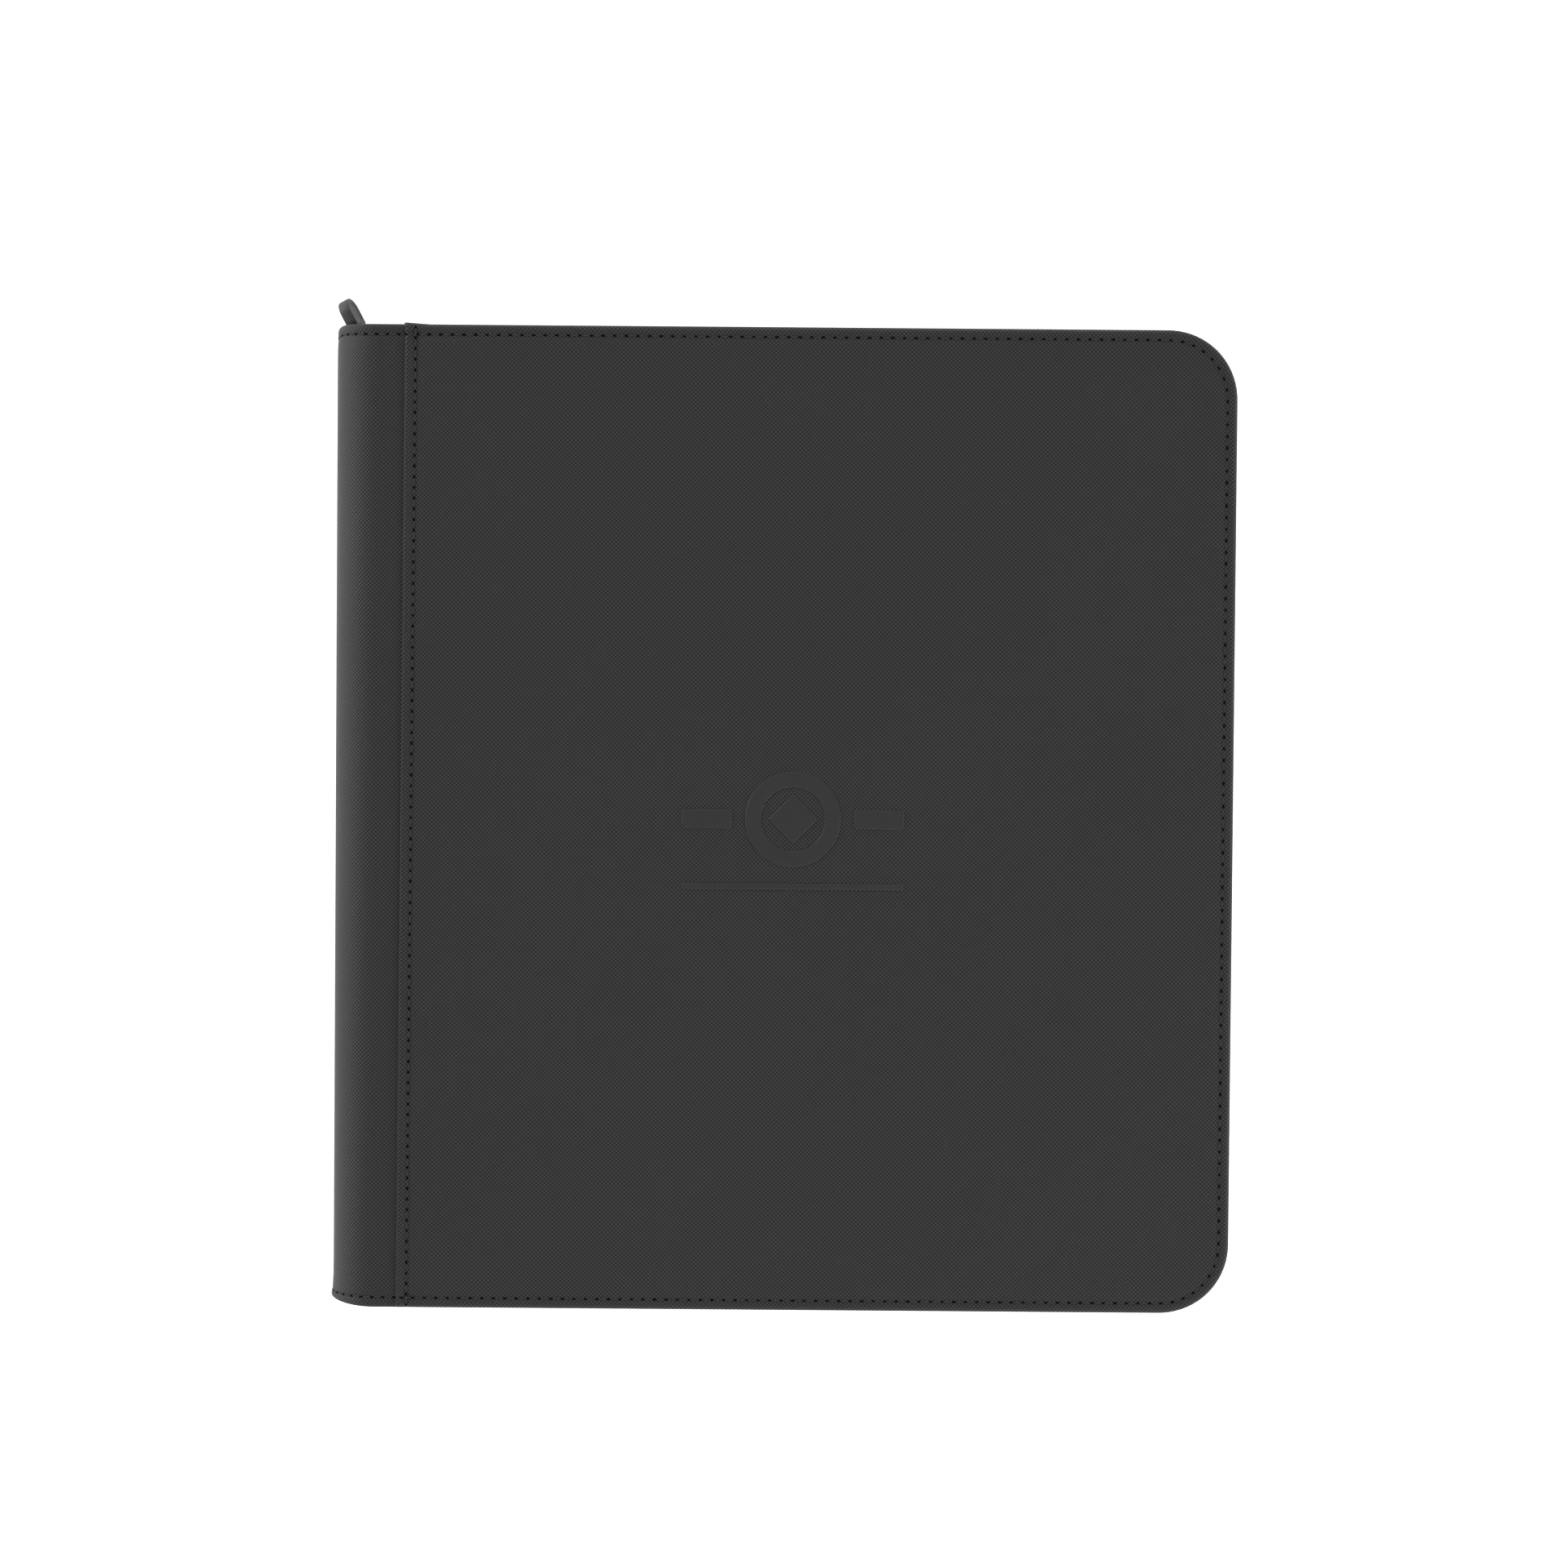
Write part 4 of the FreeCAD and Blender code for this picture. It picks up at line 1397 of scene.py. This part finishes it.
@dataclass
class PullTongue:
    """The moulded tongue: straight sides, a round end, and a shallow grip in each face."""

    finish: Material
    start: float = 4.2 * MM
    length: float = 10.6 * MM
    half_width: float = 4.5 * MM
    half_thickness: float = 2.1 * MM
    edge: float = 0.55 * MM
    grip_depth: float = 0.35 * MM
    # insets of the grip's floor, its foot and its rim
    grip: tuple[float, float, float] = (2.6 * MM, 1.9 * MM, 1.5 * MM)
    rim_drop: float = 0.05 * MM
    arc_steps: int = 20

    def _outline(self, inset: float) -> list[tuple[float, float]]:
        """Outline of the broad face, (along, across), with an inset."""
        radius = self.half_width - inset
        centre = self.start + self.length - self.half_width
        outline = [(self.start + inset, -radius), ((self.start + centre) / 2, -radius)]
        for step in range(self.arc_steps + 1):
            angle = -math.pi / 2 + math.pi * step / self.arc_steps
            outline.append((centre + radius * math.cos(angle), radius * math.sin(angle)))
        outline += [((self.start + centre) / 2, radius), (self.start + inset, radius)]
        return outline

    def make(self) -> Piece:
        """Build the tongue along +Y with its broad faces towards X."""
        flank, chamfer = self.half_thickness, self.edge * 0.3
        floor, foot, rim = self.grip
        face = [(floor, flank - self.grip_depth), (foot, flank - self.grip_depth),
                (rim, flank - self.rim_drop), (self.edge, flank), (chamfer, flank - chamfer),
                (0.0, flank - self.edge)]
        other = [(inset, -x) for inset, x in reversed(face)]
        rings = [[(x, along, across) for along, across in self._outline(inset)]
                 for inset, x in face + [(0.0, 0.0)] + other]
        return lofted("pull_tongue", rings, self.finish)


# --- pages


@dataclass
class Pages:
    """Pocket films, and the margins on which the middle pages turn."""

    finishes: Finishes
    columns: int = 4
    rows: int = 3
    weld: float = 3.0 * MM
    rise: float = 0.22 * MM
    margin: float = 8.0 * MM
    margin_steps: tuple[int, int] = (10, 24)
    margin_thickness: float = 0.56 * MM
    # how far a margin strip reaches into the bar and over its page, and where it starts and stops
    # bending
    margin_overlap: tuple[float, float] = (1.2 * MM, 6.0 * MM)
    margin_bend: tuple[float, float] = (0.8 * MM, 3.4 * MM)
    page_gap: float = 3.0 * MM
    # film between a sheet and its pockets, on a bound page and on a page that turns
    bound_gap: float = 0.31 * MM
    free_gap: float = 0.06 * MM

    def pockets(self, name: str, sheet: str, body: Body, sign: int, clearance: float,
                grid: PocketGrid) -> None:
        """Cover one face of a page with its pockets.

        Args:
            name: The piece's name.
            sheet: The page's CAD node.
            body: What it rides on.
            sign: 1 for the upper face, -1 for the lower face.
            clearance: Film thickness that lies between the sheet and the pockets.
            grid: The node tree.
        """
        low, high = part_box(sheet)
        right = high.x - self.weld
        left = SIZES.spine_centre + self.page_gap + self.margin + self.weld
        width = (right - left + self.weld) / self.columns - self.weld
        height = (high.y - low.y - self.weld) / self.rows - self.weld
        level = (high.z + clearance) if sign > 0 else (low.z - clearance)
        centre = ((left + right) / 2, (low.y + high.y) / 2, level)
        seed = new_piece(name, [centre], [], self.finishes.film)
        film = grid.run(seed, name, Finish=self.finishes.film, Pocket_Width=width,
                        Pocket_Height=height, Weld=self.weld, Rise=self.rise * sign)
        settle(film, body)

    def make(self) -> None:
        """Build the pockets that can be seen when the binder is open."""
        grid = PocketGrid(self.columns, self.rows)
        for number, body, sign, clearance in (
                (9, Body.BACK, 1, self.bound_gap),
                (10, Body.LOWER_PAGE, 1, self.free_gap), (10, Body.LOWER_PAGE, -1, self.free_gap),
                (11, Body.UPPER_PAGE, 1, self.free_gap), (11, Body.UPPER_PAGE, -1, self.free_gap),
                (12, Body.FRONT, -1, self.bound_gap)):
            sheet = f"page_{number:02}"
            name = f"pockets_{sheet}_{'upper' if sign > 0 else 'lower'}"
            self.pockets(name, sheet, body, sign, clearance, grid)
        self.margin_strip("page_10")
        self.margin_strip("page_11")

    def margin_strip(self, sheet: str) -> None:
        """The thin margin on which a middle page turns."""
        low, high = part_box(sheet)
        bar_low, bar_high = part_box("binding_bar")
        level = (low.z + high.z) / 2
        start, stop = bar_high.x - self.margin_overlap[0], low.x + self.margin_overlap[1]
        across, up = self.margin_steps
        points = [(start + (stop - start) * step / across,
                   bar_low.y + (bar_high.y - bar_low.y) * row / up, level)
                  for row in range(up + 1) for step in range(across + 1)]
        name = f"margin_{sheet}"
        strip = new_piece(name, points, grid_faces(up + 1, across + 1), self.finishes.binding)
        thicken(strip, self.margin_thickness, 0.0)
        strip = applied(strip, name)
        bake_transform(strip)


# --- carried-over nodes


def dress_frame(finishes: Finishes) -> None:
    """Give every CAD node its finish by its name."""
    rules: list[tuple[str, Material]] = [
        ("pocket_films", finishes.film), ("page_", finishes.page), ("foam", finishes.foam),
        ("padding", finishes.foam), ("board", finishes.board), ("lining", finishes.lining),
        ("binding", finishes.binding), ("zip_tape", finishes.tape), ("zip_coil", finishes.coil),
        ("zip_stop", finishes.metal), ("slider", finishes.metal), ("pull_eye", finishes.metal),
        ("pull_tab", finishes.pull), ("skin", finishes.skin), ("wrap", finishes.skin),
    ]
    for name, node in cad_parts.items():
        material = next(finish for word, finish in rules if word in name)
        if not node.data.materials:
            node.data.materials.append(material)
        for slot in node.material_slots:
            slot.link = "OBJECT"
            slot.material = material


# --- studio


@dataclass
class Studio:
    """White floor, soft light and the camera above the binder."""

    field_width: float = 0.5570
    lens: float = 150.0
    tilt: float = 2.7
    roll: float = 0.45
    aim: tuple[float, float] = (-0.6 * MM, 13.0 * MM)
    sensor: float = 36.0
    horizon: float = 1.05
    zenith: float = 0.115
    # sines of the heights between which the sky fades
    fade: tuple[float, float] = (0.05, 0.75)
    floor_reach: float = 4.0
    floor_level: float = -0.2 * MM
    # name, place, size and watts of each soft light
    lamps: tuple[tuple[str, Point, float, float], ...] = (
        ("key_left", (-2.0, 0.8, 0.75), 1.0, 37.5), ("rim_top", (0.5, 2.0, 0.9), 1.2, 13.5),
        ("fill_low", (0.4, -1.3, 1.1), 1.0, 12.5), ("fill_right", (2.0, -0.3, 0.7), 1.0, 19.5))

    def floor(self) -> None:
        """A bright paper floor."""
        shader = Shader("floor_white_paper")
        fibre = shader.noise(300.0, 3.0)
        tone = shader.blend((0.86, 0.86, 0.86), (0.90, 0.90, 0.90), fibre)
        material = shader.surface(Base_Color=tone, Roughness=0.9,
                                  Emission_Color=(1.0, 1.0, 1.0), Emission_Strength=0.8)
        corners = [(x * self.floor_reach, y * self.floor_reach, self.floor_level)
                   for x, y in ((-1, -1), (1, -1), (1, 1), (-1, 1))]
        new_piece("floor", corners, [(0, 1, 2, 3)], material, False)

    def light(self, name: str, place: Point, size: float, watts: float) -> None:
        """A square soft light that faces the binder."""
        data = bpy.data.lights.new(name, "AREA")
        data.size = size
        data.energy = watts
        lamp = bpy.data.objects.new(name, data)
        lamp.location = place
        lamp.rotation_euler = (-Vector(place)).to_track_quat("-Z", "Y").to_euler()
        bpy.context.scene.collection.objects.link(lamp)

    def world(self) -> None:
        """Light from all round, bright at the horizon and dim overhead."""
        world = bpy.data.worlds.new("studio")
        world.use_nodes = True
        nodes = Nodes(world.node_tree)
        where = nodes.add("ShaderNodeTexCoord").outputs["Generated"]
        height = nodes.add("ShaderNodeSeparateXYZ", inputs={0: where}).outputs[2]
        ends = (height, *self.fade, self.horizon, self.zenith)
        fade = nodes.add("ShaderNodeMapRange", {"interpolation_type": "SMOOTHSTEP"},
                         dict(enumerate(ends))).outputs[0]
        background = nodes.tree.nodes["Background"]
        nodes.feed(background.inputs["Strength"], fade)
        nodes.feed(background.inputs["Color"], (1.0, 1.0, 1.0))
        bpy.context.scene.world = world

    def camera(self) -> None:
        """The camera, nearly straight above."""
        data = bpy.data.cameras.new("camera")
        data.lens = self.lens
        data.sensor_width = self.sensor
        distance = self.field_width * self.lens / data.sensor_width
        tilt = math.radians(self.tilt)
        target = Vector((self.aim[0], self.aim[1], SIZES.thickness))
        camera = bpy.data.objects.new("camera", data)
        camera.location = target + Vector((0.0, math.sin(tilt), math.cos(tilt))) * distance
        camera.rotation_euler = (-tilt, 0.0, math.radians(self.roll))
        bpy.context.scene.collection.objects.link(camera)
        bpy.context.scene.camera = camera

    def make(self) -> None:
        """Set up the studio."""
        self.floor()
        self.world()
        for lamp in self.lamps:
            self.light(*lamp)
        self.camera()
        bpy.context.scene.view_settings.view_transform = "Standard"


# --- main


def main() -> None:
    """Build the binder's visible pieces in order."""
    logging.basicConfig(level=logging.INFO, format="%(message)s")
    finishes = Finishes()
    dress_frame(finishes)
    front = CoverSkin(Side.FRONT, finishes.skin, lift=FRONT_LIFT, crown=FRONT_CROWN)
    front.make()
    CoverSkin(Side.BACK, finishes.skin).make()
    Emblem(front, finishes.emblem).make()
    build_spine(finishes)
    stitching = Stitching(StitchRow("Z"), StitchRow("Y"), finishes.thread, finishes.needle_hole_shade)
    stitching.cover(Side.FRONT, FRONT_LIFT)
    stitching.cover(Side.BACK, 0.0)
    for side in Side:
        stitching.spine_ends(side)
    closure = Zip(ToothRow(), finishes)
    closure.coils()
    closure.slider()
    closure.pull()
    Pages(finishes).make()
    Studio().make()


if __name__ == "__main__":
    main()
